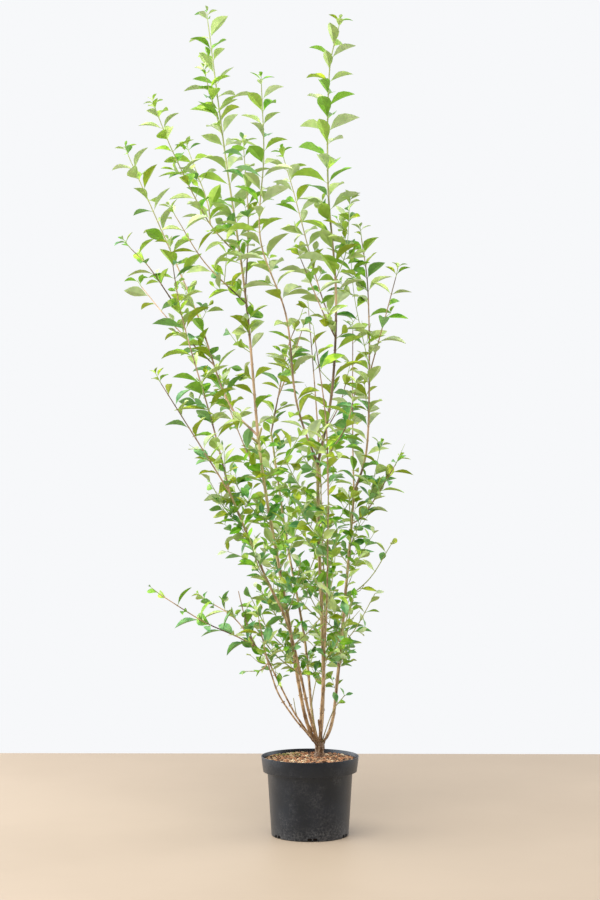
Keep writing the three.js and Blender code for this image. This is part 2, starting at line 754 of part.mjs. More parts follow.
function addLeaves(mass) {
  const carriers = [...mass.stems, ...mass.twigs.map((limb) => ({ limb, habit: HABITS.twig }))];
  for (const { solid, tip } of carriers.flatMap(({ limb, habit }) => leavesOf(limb, habit))) {
    addPiece(mass, solid, tip);
  }
}

function makePlant() {
  const group = new THREE.Group();
  group.add(meshOf('pot', place('pot', makePot()), 'pot'));
  group.add(meshOf('soil', place('soil', makeSoil()), 'soil'));

  const boughs = BOUGHS.map((bough) => ({
    ...bough,
    limb: stoolLimb(bough.name, bough.points, bough.radii, BOUGH_SIDES),
  }));
  group.add(meshOf('trunk', place('trunk', makeTrunk(boughs)), 'bark'));
  for (const { name, limb, clear } of boughs) {
    group.add(meshOf(name, place(name, limb.tube(clear + GAP)), 'bark'));
  }

  const named = MASSES.map((mass) => ({ name: mass.name, stems: massLimbs(mass, boughs) }));
  const masses = [...named, ...boughs.flatMap(spraysOf)].filter(placeStems);
  masses.forEach(addTwigs);
  masses.forEach(addLeaves);
  masses.forEach((mass) => group.add(meshOf(mass.name, joined(mass.pieces), 'leaf')));
  return group;
}

export default makePlant();
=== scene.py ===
"""A potted privet: a matt black pot, bark mulch, barked stems and a crown of fine leaves.

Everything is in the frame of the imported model: metres, +Z up, the origin in the middle of the
pot's underside. The stems and shoots follow the named sizes and the seeded rule of the frame's
own solids, carried here to finer twigs and to leaves of true size.
"""

import logging
import math
from collections.abc import Iterable, Iterator
from dataclasses import dataclass, field
from enum import Enum
from typing import ClassVar

import bmesh
import bpy
import numpy as np
from mathutils import Matrix, Vector, noise


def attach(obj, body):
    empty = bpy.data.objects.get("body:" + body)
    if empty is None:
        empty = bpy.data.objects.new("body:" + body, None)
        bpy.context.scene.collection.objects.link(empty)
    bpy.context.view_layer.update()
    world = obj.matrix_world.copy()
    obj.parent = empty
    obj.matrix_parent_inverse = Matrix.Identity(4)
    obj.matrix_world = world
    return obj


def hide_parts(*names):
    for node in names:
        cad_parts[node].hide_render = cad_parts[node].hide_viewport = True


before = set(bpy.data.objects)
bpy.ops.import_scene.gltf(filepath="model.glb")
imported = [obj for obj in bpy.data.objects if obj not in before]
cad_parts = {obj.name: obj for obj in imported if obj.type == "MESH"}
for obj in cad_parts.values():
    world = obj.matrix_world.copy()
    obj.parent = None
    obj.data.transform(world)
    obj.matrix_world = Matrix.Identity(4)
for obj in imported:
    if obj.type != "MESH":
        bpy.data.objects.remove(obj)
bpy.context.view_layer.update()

log = logging.getLogger("privet")

MM = 0.001
TOUCH = 1e-6
WORD = 0xFFFFFFFF
UP = Vector((0.0, 0.0, 1.0))
Point = tuple[float, float, float]
Pair = tuple[float, float]
Tone = tuple[int, int, int]
Faces = list[tuple[int, ...]]
Socket = bpy.types.NodeSocket
Piece = bpy.types.Object


def blend(low: float, high: float, share: float) -> float:
    """Returns the value a share of the way from low to high."""
    return low + (high - low) * share


def limited(value: float, top: float = 1.0) -> float:
    """Returns the value kept between 0 and the top."""
    return min(max(value, 0.0), top)


def linear(tone: Tone) -> tuple[float, float, float, float]:
    """Turns a colour on a screen into the linear one that a shader takes.

    Args:
        tone: red, green and blue from 0 to 255.

    Returns:
        Linear red, green and blue from 0 to 1, and an alpha of 1.
    """
    parts = [value / 255 for value in tone]
    red, green, blue = (p / 12.92 if p <= 0.04045 else ((p + 0.055) / 1.055) ** 2.4 for p in parts)
    return red, green, blue, 1.0


def mixed(one: Tone, other: Tone, share: float) -> Tone:
    """Returns the colour a share of the way from one to the other."""
    return tuple(round(blend(a, b, share)) for a, b in zip(one, other))


class Draws:
    """An even stream of numbers from 0 to 1 that is always the same for the same name.

    It is the frame's own rule: the name's FNV-1a hash starts a mulberry32 stream.
    """

    HASH_START, HASH_PRIME, STREAM_STEP = 2166136261, 16777619, 0x6D2B79F5

    def __init__(self, name: str) -> None:
        """Starts the stream.

        Args:
            name: what the numbers are drawn for.
        """
        state = self.HASH_START
        for letter in name:
            state = (state ^ ord(letter)) * self.HASH_PRIME & WORD
        self.state = state

    def share(self) -> float:
        """Draws the next number.

        Returns:
            A number from 0 to 1.
        """
        self.state = (self.state + self.STREAM_STEP) & WORD
        mix = (self.state ^ self.state >> 15) * (1 | self.state) & WORD
        mix = ((mix + ((mix ^ mix >> 7) * (61 | mix) & WORD)) ^ mix) & WORD
        return (mix ^ mix >> 14) / 2**32

    def between(self, low: float, high: float) -> float:
        """Returns a number between two others."""
        return blend(low, high, self.share())

    def sway(self, width: float) -> float:
        """Returns a number round 0 that spreads over the given width."""
        return (self.share() - 0.5) * width

    def spread(self, width: float) -> float:
        """Returns a factor round 1 that spreads over the given width."""
        return 1 + self.sway(width)


class Limb:
    """The centre line of a stem, shoot or twig with its taper, and a frame anywhere along it."""

    DIVISIONS = 200
    TANGENT_STEP = 1e-4

    def __init__(self, name: str, points: Iterable[Vector], radii: Pair) -> None:
        """Measures the curve through the points.

        Args:
            name: the limb's own name, which seeds what grows on it.
            points: the points it passes, in metres.
            radii: its radius at the foot and at the tip, in metres.
        """
        self.name = name
        self.points = [Vector(point) for point in points]
        self.radii = radii
        shares = [index / self.DIVISIONS for index in range(self.DIVISIONS + 1)]
        line = [self._curve(share) for share in shares]
        steps = [(b - a).length for a, b in zip(line, line[1:])]
        self.marks = np.concatenate(([0.0], np.cumsum(steps)))
        self.length = float(self.marks[-1])
        chord = self.points[-1] - self.points[0]
        self.reference = Vector((0, 1, 0)) if abs(chord.x) > abs(chord.y) else Vector((1, 0, 0))

    def _curve(self, share: float) -> Vector:
        """Finds a spot on the curve.

        Args:
            share: the share of the curve's own parameter, from 0 to 1.

        Returns:
            The spot, in metres.
        """
        spots = self.points
        place = (len(spots) - 1) * share
        index = min(int(place), len(spots) - 2)
        weight = place - index
        here, there = spots[index], spots[index + 1]
        before = spots[index - 1] if index > 0 else here * 2 - there
        after = spots[index + 2] if index + 2 < len(spots) else there * 2 - here
        leave, arrive = (there - before) * 0.5, (after - here) * 0.5
        bend = (here - there) * 2 + leave + arrive
        lean = (there - here) * 3 - leave * 2 - arrive
        return here + leave * weight + lean * weight**2 + bend * weight**3

    def _parameter(self, distance: float) -> float:
        """Finds the curve's own parameter.

        Args:
            distance: how far along the limb, in metres.

        Returns:
            The parameter, from 0 to 1.
        """
        span = limited(distance, self.length)
        shares = np.linspace(0.0, 1.0, self.DIVISIONS + 1)
        return float(np.interp(span, self.marks, shares))

    def point_at(self, distance: float) -> Vector:
        """Returns the spot at a distance from the foot."""
        return self._curve(self._parameter(distance))

    def radius_at(self, distance: float) -> float:
        """Returns the radius at a distance from the foot."""
        return blend(*self.radii, limited(distance / self.length))

    def tangent_at(self, distance: float) -> Vector:
        """Finds the direction of growth.

        Args:
            distance: how far along the limb, in metres.

        Returns:
            The direction, of length 1.
        """
        middle = self._parameter(distance)
        low, high = max(middle - self.TANGENT_STEP, 0.0), min(middle + self.TANGENT_STEP, 1.0)
        return (self._curve(high) - self._curve(low)).normalized()

    def outward_at(self, distance: float, degrees: float) -> Vector:
        """Finds a direction square to the limb.

        Args:
            distance: how far along the limb, in metres.
            degrees: the turn round it.

        Returns:
            The direction, of length 1.
        """
        tangent = self.tangent_at(distance)
        side = (self.reference - tangent * self.reference.dot(tangent)).normalized()
        angle = math.radians(degrees)
        return side * math.cos(angle) + tangent.cross(side) * math.sin(angle)

    def spots(self, step: float) -> Iterator[tuple[Vector, float]]:
        """Yields spots and radii along the limb, a step apart."""
        for index in range(int(self.length / step) + 1):
            yield self.point_at(index * step), self.radius_at(index * step)


@dataclass(frozen=True)
class Habit:
    """How a shoot carries its twigs and leaves. Lengths are in mm."""

    first: float
    spacing: Pair
    twig_share: float
    twigs_to: float
    twig: Pair
    leaf_first: float
    leaf_spacing: Pair
    leaf: Point
    spur_share: float
    spur: Pair


class Habits(Enum):
    """The habits by name. The first five values of each are the frame's own."""

    LEADER = Habit(34, (54, 40), 0.26, 0.36, (60, 100), 24, (36, 28), (60, 76, 62), 0.10, (14, 44))
    BRANCH = Habit(32, (45, 36), 0.16, 0.30, (50, 80), 20, (33, 26), (54, 66, 52), 0.10, (14, 44))
    ARM = Habit(30, (42, 34), 0.15, 0.50, (45, 60), 24, (35, 27), (60, 72, 54), 0.04, (12, 34))
    SPRAY = Habit(26, (36, 30), 0.26, 0.60, (45, 70), 16, (29, 24), (44, 52, 44), 0.24, (16, 44))
    TWIG = Habit(26, (32, 28), 0.0, 0.0, (0, 0), 16, (26, 21), (40, 48, 40), 0.0, (0, 0))
    SPUR = Habit(8, (14, 12), 0.0, 0.0, (0, 0), 9, (19, 16), (36, 45, 38), 0.0, (0, 0))
    TIP = Habit(8, (14, 12), 0.0, 0.0, (0, 0), 7, (12, 9), (40, 32, 27), 0.0, (0, 0))


@dataclass(frozen=True)
class Bough:
    """A main stem from the stool to its fork, with the sprays that the rule sets round it."""

    key: str
    radii: Pair
    sprays: int
    turn: float
    points: tuple[Point, ...]

    @property
    def node(self) -> str:
        """The name of its node in the frame."""
        return f"bough_{self.key}"


@dataclass(frozen=True)
class Shoot:
    """A main shoot of a mass. It starts on another shoot, or on the bough where `on` is empty."""

    key: str
    habit: Habits
    points: tuple[Point, ...]
    on: str = ""
    at: float = 0.0
    radii: Pair = (1.7, 1.0)
    leaf_scale: float = 1.0


@dataclass(frozen=True)
class Mass:
    """A mass of foliage with the bough it grows on and how far up that bough."""

    key: str
    bough: str
    shoots: tuple[Shoot, ...]
    at: float = 1.0

    @property
    def node(self) -> str:
        """The name of its node in the frame."""
        return f"mass_{self.key}"


BOUGHS = (
    Bough("left_tall", (4.5, 3.5), 5, 150,
          ((-13, -6, 280), (-57, -45, 545), (-100, -65, 785), (-118, -65, 915))),
    Bough("right_tall", (4.9, 3.9), 5, 20,
          ((26, 16, 260), (31, 25, 390), (20, 10, 700), (18, 0, 850))),
    Bough("right", (4.4, 3.1), 5, 75,
          ((50, 42, 248), (66, 70, 370), (94, 110, 665), (104, 115, 785))),
    Bough("left_low", (3.8, 2.7), 6, 190,
          ((-3, -22, 286), (-47, -80, 480), (-100, -118, 600), (-177, -155, 785))),
    Bough("back_left", (3.5, 2.4), 4, 170,
          ((5, 28, 273), (-14, 80, 448), (-56, 125, 673), (-94, 145, 930))),
    Bough("low_left", (2.6, 1.9), 0, 0,
          ((-15, -12, 250), (-40, -36, 292), (-72, -58, 358), (-100, -78, 420))),
    Bough("low_left_twin", (2.5, 1.9), 0, 0,
          ((-10, -26, 240), (-36, -54, 275), (-70, -82, 331), (-90, -105, 390))),
    Bough("back", (3.6, 2.5), 3, 60,
          ((31, 52, 280), (34, 112, 500), (25, 190, 800))),
    Bough("front", (3.4, 2.4), 3, 300,
          ((26, -14, 285), (38, -88, 520), (42, -160, 780))),
)

MASSES = (
    Mass("left_leader", "left_tall", (
        Shoot("lead", Habits.LEADER, ((-148, -38, 1240), (-199, 10, 1585), (-240, 42, 1892)),
              radii=(3.2, 1.2)),
        Shoot("outer", Habits.BRANCH, ((-231, -80, 1404), (-306, -120, 1550), (-345, -128, 1645)),
              "lead", 0.42),
        Shoot("outer_fork", Habits.BRANCH, ((-238, -20, 1461), (-284, 42, 1585)), "outer", 0.28),
        Shoot("low", Habits.BRANCH, ((-236, -110, 1305), (-300, -155, 1405)), "lead", 0.31),
        Shoot("inner", Habits.BRANCH, ((-140, -75, 1405), (-150, -80, 1565)), "lead", 0.33),
        Shoot("high", Habits.BRANCH, ((-228, -8, 1700), (-240, -18, 1745)), "lead", 0.72),
    )),
    Mass("left_outer", "left_tall", (
        Shoot("lead", Habits.LEADER,
              ((-191, -20, 1000), (-266, 60, 1207), (-362, 130, 1427), (-440, 168, 1600)),
              radii=(2.6, 1.1)),
        Shoot("low", Habits.BRANCH, ((-328, 75, 1188), (-405, 135, 1280)), "lead", 0.27),
    )),
    Mass("left_rear", "left_tall", (
        Shoot("lead", Habits.BRANCH, ((-150, 0, 890), (-200, 60, 1010))),
    ), at=0.84),
    Mass("right_leader", "right_tall", (
        Shoot("lead", Habits.LEADER,
              ((51, -20, 1022), (60, -25, 1250), (42, -10, 1500), (45, 8, 1760), (66, 10, 1866)),
              radii=(3.4, 1.2), leaf_scale=1.16),
        Shoot("inner", Habits.BRANCH, ((23, 40, 1259), (-36, 100, 1489), (-62, 114, 1580)),
              "lead", 0.31),
        Shoot("low", Habits.BRANCH, ((27, -62, 1205), (-20, -98, 1315)), "lead", 0.29),
        Shoot("twig", Habits.BRANCH, ((84, -20, 1345), (92, -16, 1445)), "lead", 0.42, (1.1, 0.6)),
    )),
    Mass("middle", "right_tall", (
        Shoot("lead", Habits.LEADER,
              ((-30, -60, 992), (-53, -110, 1185), (-110, -142, 1355), (-102, -155, 1540),
               (-107, -158, 1690)), radii=(2.6, 1.1)),
    )),
    Mass("right_outer", "right", (
        Shoot("lead", Habits.LEADER,
              ((134, 110, 890), (140, 95, 1083), (136, 75, 1270), (121, 60, 1385)),
              radii=(2.8, 1.1)),
        Shoot("side", Habits.BRANCH, ((176, 50, 1197), (200, 22, 1288)), "lead", 0.47),
        Shoot("twig", Habits.BRANCH, ((106, 60, 1235), (96, 52, 1335)), "lead", 0.5, (1.1, 0.6)),
    )),
    Mass("right_rear", "right", (
        Shoot("lead", Habits.BRANCH, ((102, 150, 886), (102, 188, 1020), (103, 208, 1180)),
              radii=(2.0, 1.0)),
    )),
    Mass("right_side", "right", (
        Shoot("lead", Habits.BRANCH, ((132, 98, 740), (198, 36, 850))),
        Shoot("twig", Habits.BRANCH, ((146, 84, 800), (162, 70, 878)), "lead", 0.3, (1.1, 0.6)),
    ), at=0.88),
    Mass("left_low", "left_low", (
        Shoot("lead", Habits.BRANCH, ((-218, -178, 853), (-325, -212, 1025)), radii=(1.9, 1.0)),
    )),
    Mass("left_fan", "left_low", (
        Shoot("lead", Habits.LEADER, ((-221, -120, 951), (-288, -95, 1180), (-316, -86, 1335)),
              radii=(2.2, 1.0)),
        Shoot("side", Habits.BRANCH, ((-356, -142, 1287), (-398, -160, 1330)), "lead", 0.74),
    )),
    Mass("back_left", "back_left", (
        Shoot("lead", Habits.BRANCH, ((-76, 158, 1025), (-54, 182, 1140), (-26, 194, 1210)),
              radii=(2.0, 1.0)),
        Shoot("side", Habits.BRANCH, ((-52, 120, 1078), (-18, 92, 1175)), "lead", 0.3),
    )),
    Mass("low_left_arm", "low_left", (
        Shoot("lead", Habits.ARM, ((-154, -112, 459), (-235, -155, 500), (-330, -184, 562)),
              radii=(1.7, 1.0)),
        Shoot("upper", Habits.ARM, ((-172, -66, 502), (-236, -40, 540)), "lead", 0.07),
        Shoot("upright", Habits.ARM, ((-148, -84, 510), (-162, -66, 562)), "lead", 0.12),
    )),
    Mass("low_left_foot", "low_left_twin", (
        Shoot("lead", Habits.ARM, ((-102, -128, 445), (-112, -158, 505)), radii=(1.7, 1.0)),
        Shoot("low", Habits.ARM, ((-108, -120, 390), (-124, -132, 388)), "lead", 0.12),
    )),
    Mass("back", "back", (
        Shoot("lead", Habits.LEADER, ((15, 226, 980), (-5, 262, 1235)), radii=(2.1, 1.0)),
        Shoot("side", Habits.BRANCH, ((70, 262, 1000), (92, 288, 1080)), "lead", 0.25),
    )),
    Mass("front", "front", (
        Shoot("lead", Habits.LEADER, ((36, -204, 950), (12, -246, 1125)), radii=(2.0, 1.0)),
        Shoot("side", Habits.BRANCH, ((80, -222, 930), (100, -240, 1005)), "lead", 0.25),
    )),
)


class LeafTone(Enum):
    """The leaf colours from the darkest old leaves to the newest tips, partly painted shade and
    light: darker tones also stand for leaves in shade, lighter ones for lit leaves.
    """

    # The darker tones partly stand for leaves in shade and the lighter ones for lit leaves:
    # painted shade and light.
    SHADE = (82, 146, 62)
    DEEP = (110, 173, 18)
    MID = (168, 206, 50)
    FRESH = (196, 212, 138)
    TIP = (205, 214, 174)
    OLIVE = (154, 168, 8)
    COOL = (108, 168, 112)
    BROWN = (66, 50, 40)

    @property
    def order(self) -> int:
        """The tone's number in the list."""
        return list(LeafTone).index(self)


@dataclass(frozen=True)
class Sprig:
    """A thin leafy twig on a bough, a share of the way up it. Lengths are in mm."""

    bough: str
    at: float
    points: tuple[Point, ...]
    leafy: Pair = (0.0, 1.0)
    radii: Pair = (1.1, 0.6)
    tone: LeafTone | None = None


SPRIGS = (
    Sprig("right_tall", 0.0, ((52, 6, 280), (80, -4, 320)), (0.72, 1.0), (1.6, 1.0)),
    Sprig("right_tall", 0.0, ((-26, 4, 262), (-38, 2, 312)), (2.0, 2.0), (1.6, 1.0)),
    Sprig("right_tall", 0.0, ((8, 2, 262), (4, 8, 300), (18, 2, 372)), (2.0, 2.0), (1.6, 1.0)),
    Sprig("right_tall", 0.36, ((12, -56, 474), (-2, -60, 496)), (0.84, 1.0),
          tone=LeafTone.BROWN),
    Sprig("left_low", 0.64, ((-134, -124, 632), (-183, -130, 655))),
    Sprig("left_low", 0.8, ((-182, -140, 752), (-230, -140, 786))),
    Sprig("right", 0.78, ((128, 100, 742), (150, 92, 800))),
    Sprig("right", 0.62, ((120, 92, 640), (150, 84, 690))),
)


@dataclass(frozen=True)
class Patch:
    """A round patch of the crown, seen from the front, that is more open or fuller than the rest.

    Its fullness is the share of its leaves that stay, or 1 and the share of its nodes that carry
    a side shoot. Lengths are in mm.
    """

    x: float
    z: float
    reach: float
    fullness: float


PATCHES = tuple(Patch(*row) for row in (
    (92, 740, 30, 0.45), (46, 506, 30, 0.4), (46, 1434, 24, 0.5),
    (0, 1520, 34, 0.5), (-231, 1550, 26, 0.5), (46, 972, 26, 0.5),
    (-93, 856, 28, 0.45), (-231, 798, 28, 0.4), (-46, 567, 28, 0.5),
    (46, 683, 26, 0.5), (-139, 394, 26, 0.2), (-208, 1261, 30, 0.5),
    (-231, 1203, 20, 0.5), (138, 856, 28, 0.5), (150, 1208, 44, 0.5),
    (8, 1040, 46, 0.12), (-373, 1230, 26, 0.3), (40, 788, 34, 0.25),
    (140, 568, 42, 0.2), (23, 512, 26, 0.3), (-282, 915, 30, 0.3),
    (-233, 1494, 34, 0.3), (-326, 972, 30, 0.4), (-330, 1215, 30, 0.6),
    (-46, 1072, 32, 1.7), (-277, 1204, 32, 1.9), (-231, 985, 38, 1.8),
    (-139, 798, 32, 1.8), (0, 798, 26, 1.8), (185, 798, 30, 1.8),
    (-93, 538, 30, 1.9), (92, 1261, 34, 1.9), (-69, 1285, 50, 1.8),
    (-139, 1185, 38, 1.7), (-139, 720, 40, 1.8), (98, 1450, 44, 1.7),
    (96, 1345, 50, 1.5), (0, 1322, 60, 1.35), (-140, 1440, 36, 1.7),
    (-225, 1075, 50, 1.5), (-150, 1050, 40, 1.6), (-110, 960, 36, 1.6),
    (-140, 640, 48, 1.8), (112, 650, 40, 1.6), (92, 905, 36, 1.8),
    (46, 856, 28, 1.8), (150, 770, 40, 1.6), (-215, 520, 50, 1.8),
    (22, 730, 50, 1.6), (-90, 385, 40, 1.6), (0, 400, 56, 1.7),
    (56, 370, 40, 1.6),
))


def metres(point: Point) -> Vector:
    """Returns a point that is given in mm as a vector in metres."""
    return Vector(point) * MM


def scaled(radii: Pair) -> Pair:
    """Returns two radii that are given in mm in metres."""
    return radii[0] * MM, radii[1] * MM


class Wiring:
    """Adds nodes to one shader tree. Each value that a node is fed may be a socket as well."""

    MIX_FACTOR, MIX_A, MIX_B, MIX_RESULT = 0, 6, 7, 2

    def __init__(self, tree: bpy.types.NodeTree) -> None:
        """Takes the tree."""
        self.tree = tree

    def feed(self, node: bpy.types.Node, feeds: dict) -> None:
        """Gives a node its values.

        Args:
            node: the node.
            feeds: a value for each input, by its name or number.
        """
        for name, value in feeds.items():
            if isinstance(value, Socket):
                self.tree.links.new(value, node.inputs[name])
            else:
                node.inputs[name].default_value = value

    def add(self, kind: str, feeds: dict, **settings: object) -> bpy.types.NodeOutputs:
        """Adds one node and feeds it.

        Args:
            kind: the node's type after the word ShaderNode.
            feeds: a value for each input, by its name or number.
            settings: the node's own options.

        Returns:
            The node's output sockets.
        """
        node = self.tree.nodes.new(f"ShaderNode{kind}")
        for name, value in settings.items():
            setattr(node, name, value)
        self.feed(node, feeds)
        return node.outputs

    def noise(self, spot: Socket, scale: object, detail: object, roughness: float) -> Socket:
        """Returns a noise over the given coordinates."""
        feeds = {"Vector": spot, "Scale": scale, "Detail": detail, "Roughness": roughness}
        return self.add("TexNoise", feeds)["Fac"]

    def part(self, place: Socket, letter: str) -> Socket:
        """Returns one coordinate of a place by its letter."""
        return self.add("SeparateXYZ", {0: place})[letter]

    def work_out(self, operation: str, one: object, other: object, clamp: bool = False) -> Socket:
        """Returns the result of a sum or product."""
        return self.add("Math", {0: one, 1: other}, operation=operation, use_clamp=clamp)[0]

    def mix(self, share: object, one: object, other: object) -> Socket:
        """Returns the colour a share of the way from one to the other."""
        feeds = {self.MIX_FACTOR: share, self.MIX_A: one, self.MIX_B: other}
        return self.add("Mix", feeds, data_type="RGBA")[self.MIX_RESULT]

    def ranged(self, value: Socket, given: tuple, wanted: tuple = (0.0, 1.0),
               kind: str = "SMOOTHSTEP") -> Socket:
        """Moves a value from one range to another.

        Args:
            value: the value.
            given: the two ends of its own range.
            wanted: the two ends of the new range.
            kind: how the way between them is graded.

        Returns:
            The socket of the new value.
        """
        feeds = {"Value": value, "From Min": given[0], "From Max": given[1],
                 "To Min": wanted[0], "To Max": wanted[1]}
        return self.add("MapRange", feeds, interpolation_type=kind)[0]


class Group:
    """A shader node group that is built once and placed in each material with its own values."""

    name = ""
    inputs: tuple[tuple[str, str], ...] = ()
    outputs: tuple[tuple[str, str], ...] = ()

    def tree(self) -> bpy.types.NodeTree:
        """Finds the group's tree, or builds it at its first use.

        Returns:
            The tree.
        """
        found = bpy.data.node_groups.get(self.name)
        if found:
            return found
        tree = bpy.data.node_groups.new(self.name, "ShaderNodeTree")
        for side, sockets in (("INPUT", self.inputs), ("OUTPUT", self.outputs)):
            for name, kind in sockets:
                tree.interface.new_socket(name, in_out=side, socket_type=f"NodeSocket{kind}")
        given, result = tree.nodes.new("NodeGroupInput"), tree.nodes.new("NodeGroupOutput")
        wiring = Wiring(tree)
        wiring.feed(result, self.fill(wiring, given.outputs))
        return tree

    def fill(self, wiring: Wiring, given: bpy.types.NodeOutputs) -> dict[str, Socket]:
        """Wires the inside of the group.

        Args:
            wiring: the group's tree.
            given: the sockets of the group's inputs.

        Returns:
            What each of the group's outputs gives.
        """
        raise NotImplementedError

    def place(self, wiring: Wiring, **feeds: object) -> bpy.types.NodeOutputs:
        """Returns the outputs of the group in a material, with a value for each input."""
        named = {name.capitalize(): value for name, value in feeds.items()}
        return wiring.add("Group", named, node_tree=self.tree())


class Mottle(Group):
    """Blotches of two colours."""

    name = "Mottle"
    inputs = (("Vector", "Vector"), ("Scale", "Float"), ("Detail", "Float"), ("Dark", "Color"),
              ("Light", "Color"))
    outputs = (("Color", "Color"),)

    def fill(self, wiring: Wiring, given: bpy.types.NodeOutputs) -> dict[str, Socket]:
        """Mixes the two colours by a soft noise.

        Args:
            wiring: the group's tree.
            given: the sockets of the group's inputs.

        Returns:
            What each of the group's outputs gives.
        """
        blotches = wiring.noise(given["Vector"], given["Scale"], given["Detail"], 0.6)
        mask = wiring.ranged(blotches, (0.32, 0.68))
        return {"Color": wiring.mix(mask, given["Dark"], given["Light"])}


class Relief(Group):
    """A fine uneven surface."""

    name = "Relief"
    inputs = (("Vector", "Vector"), ("Scale", "Float"), ("Depth", "Float"))
    outputs = (("Normal", "Vector"),)

    def fill(self, wiring: Wiring, given: bpy.types.NodeOutputs) -> dict[str, Socket]:
        """Turns a noise into a bump.

        Args:
            wiring: the group's tree.
            given: the sockets of the group's inputs.

        Returns:
            What each of the group's outputs gives.
        """
        height = wiring.noise(given["Vector"], given["Scale"], 5.0, 0.65)
        feeds = {"Height": height, "Distance": given["Depth"], "Strength": 1.0}
        return {"Normal": wiring.add("Bump", feeds)["Normal"]}


class Dust(Group):
    """Pale dust and scuffs over a colour, thicker near the ground."""

    name = "Dust"
    inputs = (("Vector", "Vector"), ("Color", "Color"), ("Dust", "Color"), ("Top", "Float"),
              ("Amount", "Float"))
    outputs = (("Color", "Color"), ("Mask", "Float"))
    # The scale of the broad patches and of the fine specks, each with the range of its noise.
    FIELDS = ((16.0, (0.46, 0.74)), (210.0, (0.42, 0.8)))

    def fill(self, wiring: Wiring, given: bpy.types.NodeOutputs) -> dict[str, Socket]:
        """Wires broad patches and a band at the foot, times fine specks.

        Args:
            wiring: the group's tree.
            given: the sockets of the group's inputs.

        Returns:
            What each of the group's outputs gives.
        """
        patches, specks = (
            wiring.ranged(wiring.noise(given["Vector"], scale, 6.0, 0.7), ends, kind="LINEAR")
            for scale, ends in self.FIELDS)
        foot = wiring.ranged(wiring.part(given["Vector"], "Z"), (0.0, given["Top"]), (1.0, 0.0))
        dusty = wiring.work_out("MULTIPLY", wiring.work_out("ADD", patches, foot), specks)
        mask = wiring.work_out("MULTIPLY", dusty, given["Amount"], clamp=True)
        return {"Color": wiring.mix(mask, given["Color"], given["Dust"]), "Mask": mask}


@dataclass(frozen=True)
class Finish:
    """A surface of two mottled tones with a fine relief."""

    name: str
    dark: Tone
    light: Tone
    grain: float = 90.0
    roughness: float = 0.5
    relief_scale: float = 600.0
    relief: float = 0.0002
    stretch: Point = (1.0, 1.0, 1.0)
    detail: float = 4.0

    def material(self) -> bpy.types.Material:
        """Finds the finish's material, or builds it at its first use.

        Returns:
            The material.
        """
        found = bpy.data.materials.get(self.name)
        if found:
            return found
        material = bpy.data.materials.new(self.name)
        material.use_nodes = True
        shader = material.node_tree.nodes["Principled BSDF"]
        shader.subsurface_method = "BURLEY"
        wiring = Wiring(material.node_tree)
        place = wiring.add("TexCoord", {})["Object"]
        spot = wiring.add("Mapping", {"Vector": place, "Scale": self.stretch})["Vector"]
        wiring.feed(shader, self.feeds(wiring, spot, place))
        return material

    def feeds(self, wiring: Wiring, spot: Socket, place: Socket) -> dict[str, object]:
        """Works out what the shader is fed. Other finishes add to it.

        Args:
            wiring: the material's tree.
            spot: the stretched coordinates of the pattern.
            place: the plain coordinates in metres.

        Returns:
            A value or a socket for each input of the shader.
        """
        colour = Mottle().place(wiring, vector=spot, scale=self.grain, detail=self.detail,
                                dark=linear(self.dark), light=linear(self.light))["Color"]
        relief = Relief().place(wiring, vector=spot, scale=self.relief_scale, depth=self.relief)
        return {"Base Color": colour, "Normal": relief["Normal"], "Roughness": self.roughness}


@dataclass(frozen=True)
class LeafFinish(Finish):
    """A leaf's side: a waxy green with blotches (painted shade and light on the upper side) that
    lets a little light through.
    """

    detail: float = 0.8

    def feeds(self, wiring: Wiring, spot: Socket, place: Socket) -> dict[str, object]:
        """Adds the thin wax and the light within the leaf.

        Args:
            wiring: the material's tree.
            spot: the stretched coordinates of the pattern.
            place: the plain coordinates in metres.

        Returns:
            A value or a socket for each input of the shader.
        """
        return super().feeds(wiring, spot, place) | {
            "Specular IOR Level": 0.24, "Subsurface Weight": 0.1,
            "Subsurface Radius": (0.7, 1.0, 0.25), "Subsurface Scale": 0.0015}


@dataclass(frozen=True)
class BarkFinish(Finish):
    """Bark that is dark at the stool, pale tan above it and greener on young wood.

    The foot's tone fades out and the young wood's fades in between their heights, in metres.
    """

    foot: Tone = (88, 60, 42)
    foot_heights: Pair = (0.2, 0.24)
    foot_share: float = 0.75
    young: Tone = (196, 188, 118)
    young_heights: Pair = (0.5, 1.2)
    young_share: float = 0.95

    def feeds(self, wiring: Wiring, spot: Socket, place: Socket) -> dict[str, object]:
        """Mixes in the stool's dark bark and the young wood's green by height.

        Args:
            wiring: the material's tree.
            spot: the stretched coordinates of the pattern.
            place: the plain coordinates in metres.

        Returns:
            A value or a socket for each input of the shader.
        """
        feeds = super().feeds(wiring, spot, place)
        height = wiring.part(place, "Z")
        low = wiring.ranged(height, self.foot_heights, (self.foot_share, 0.0))
        high = wiring.ranged(height, self.young_heights, (0.0, self.young_share))
        dark = wiring.mix(low, feeds["Base Color"], linear(self.foot))
        return feeds | {"Base Color": wiring.mix(high, dark, linear(self.young))}


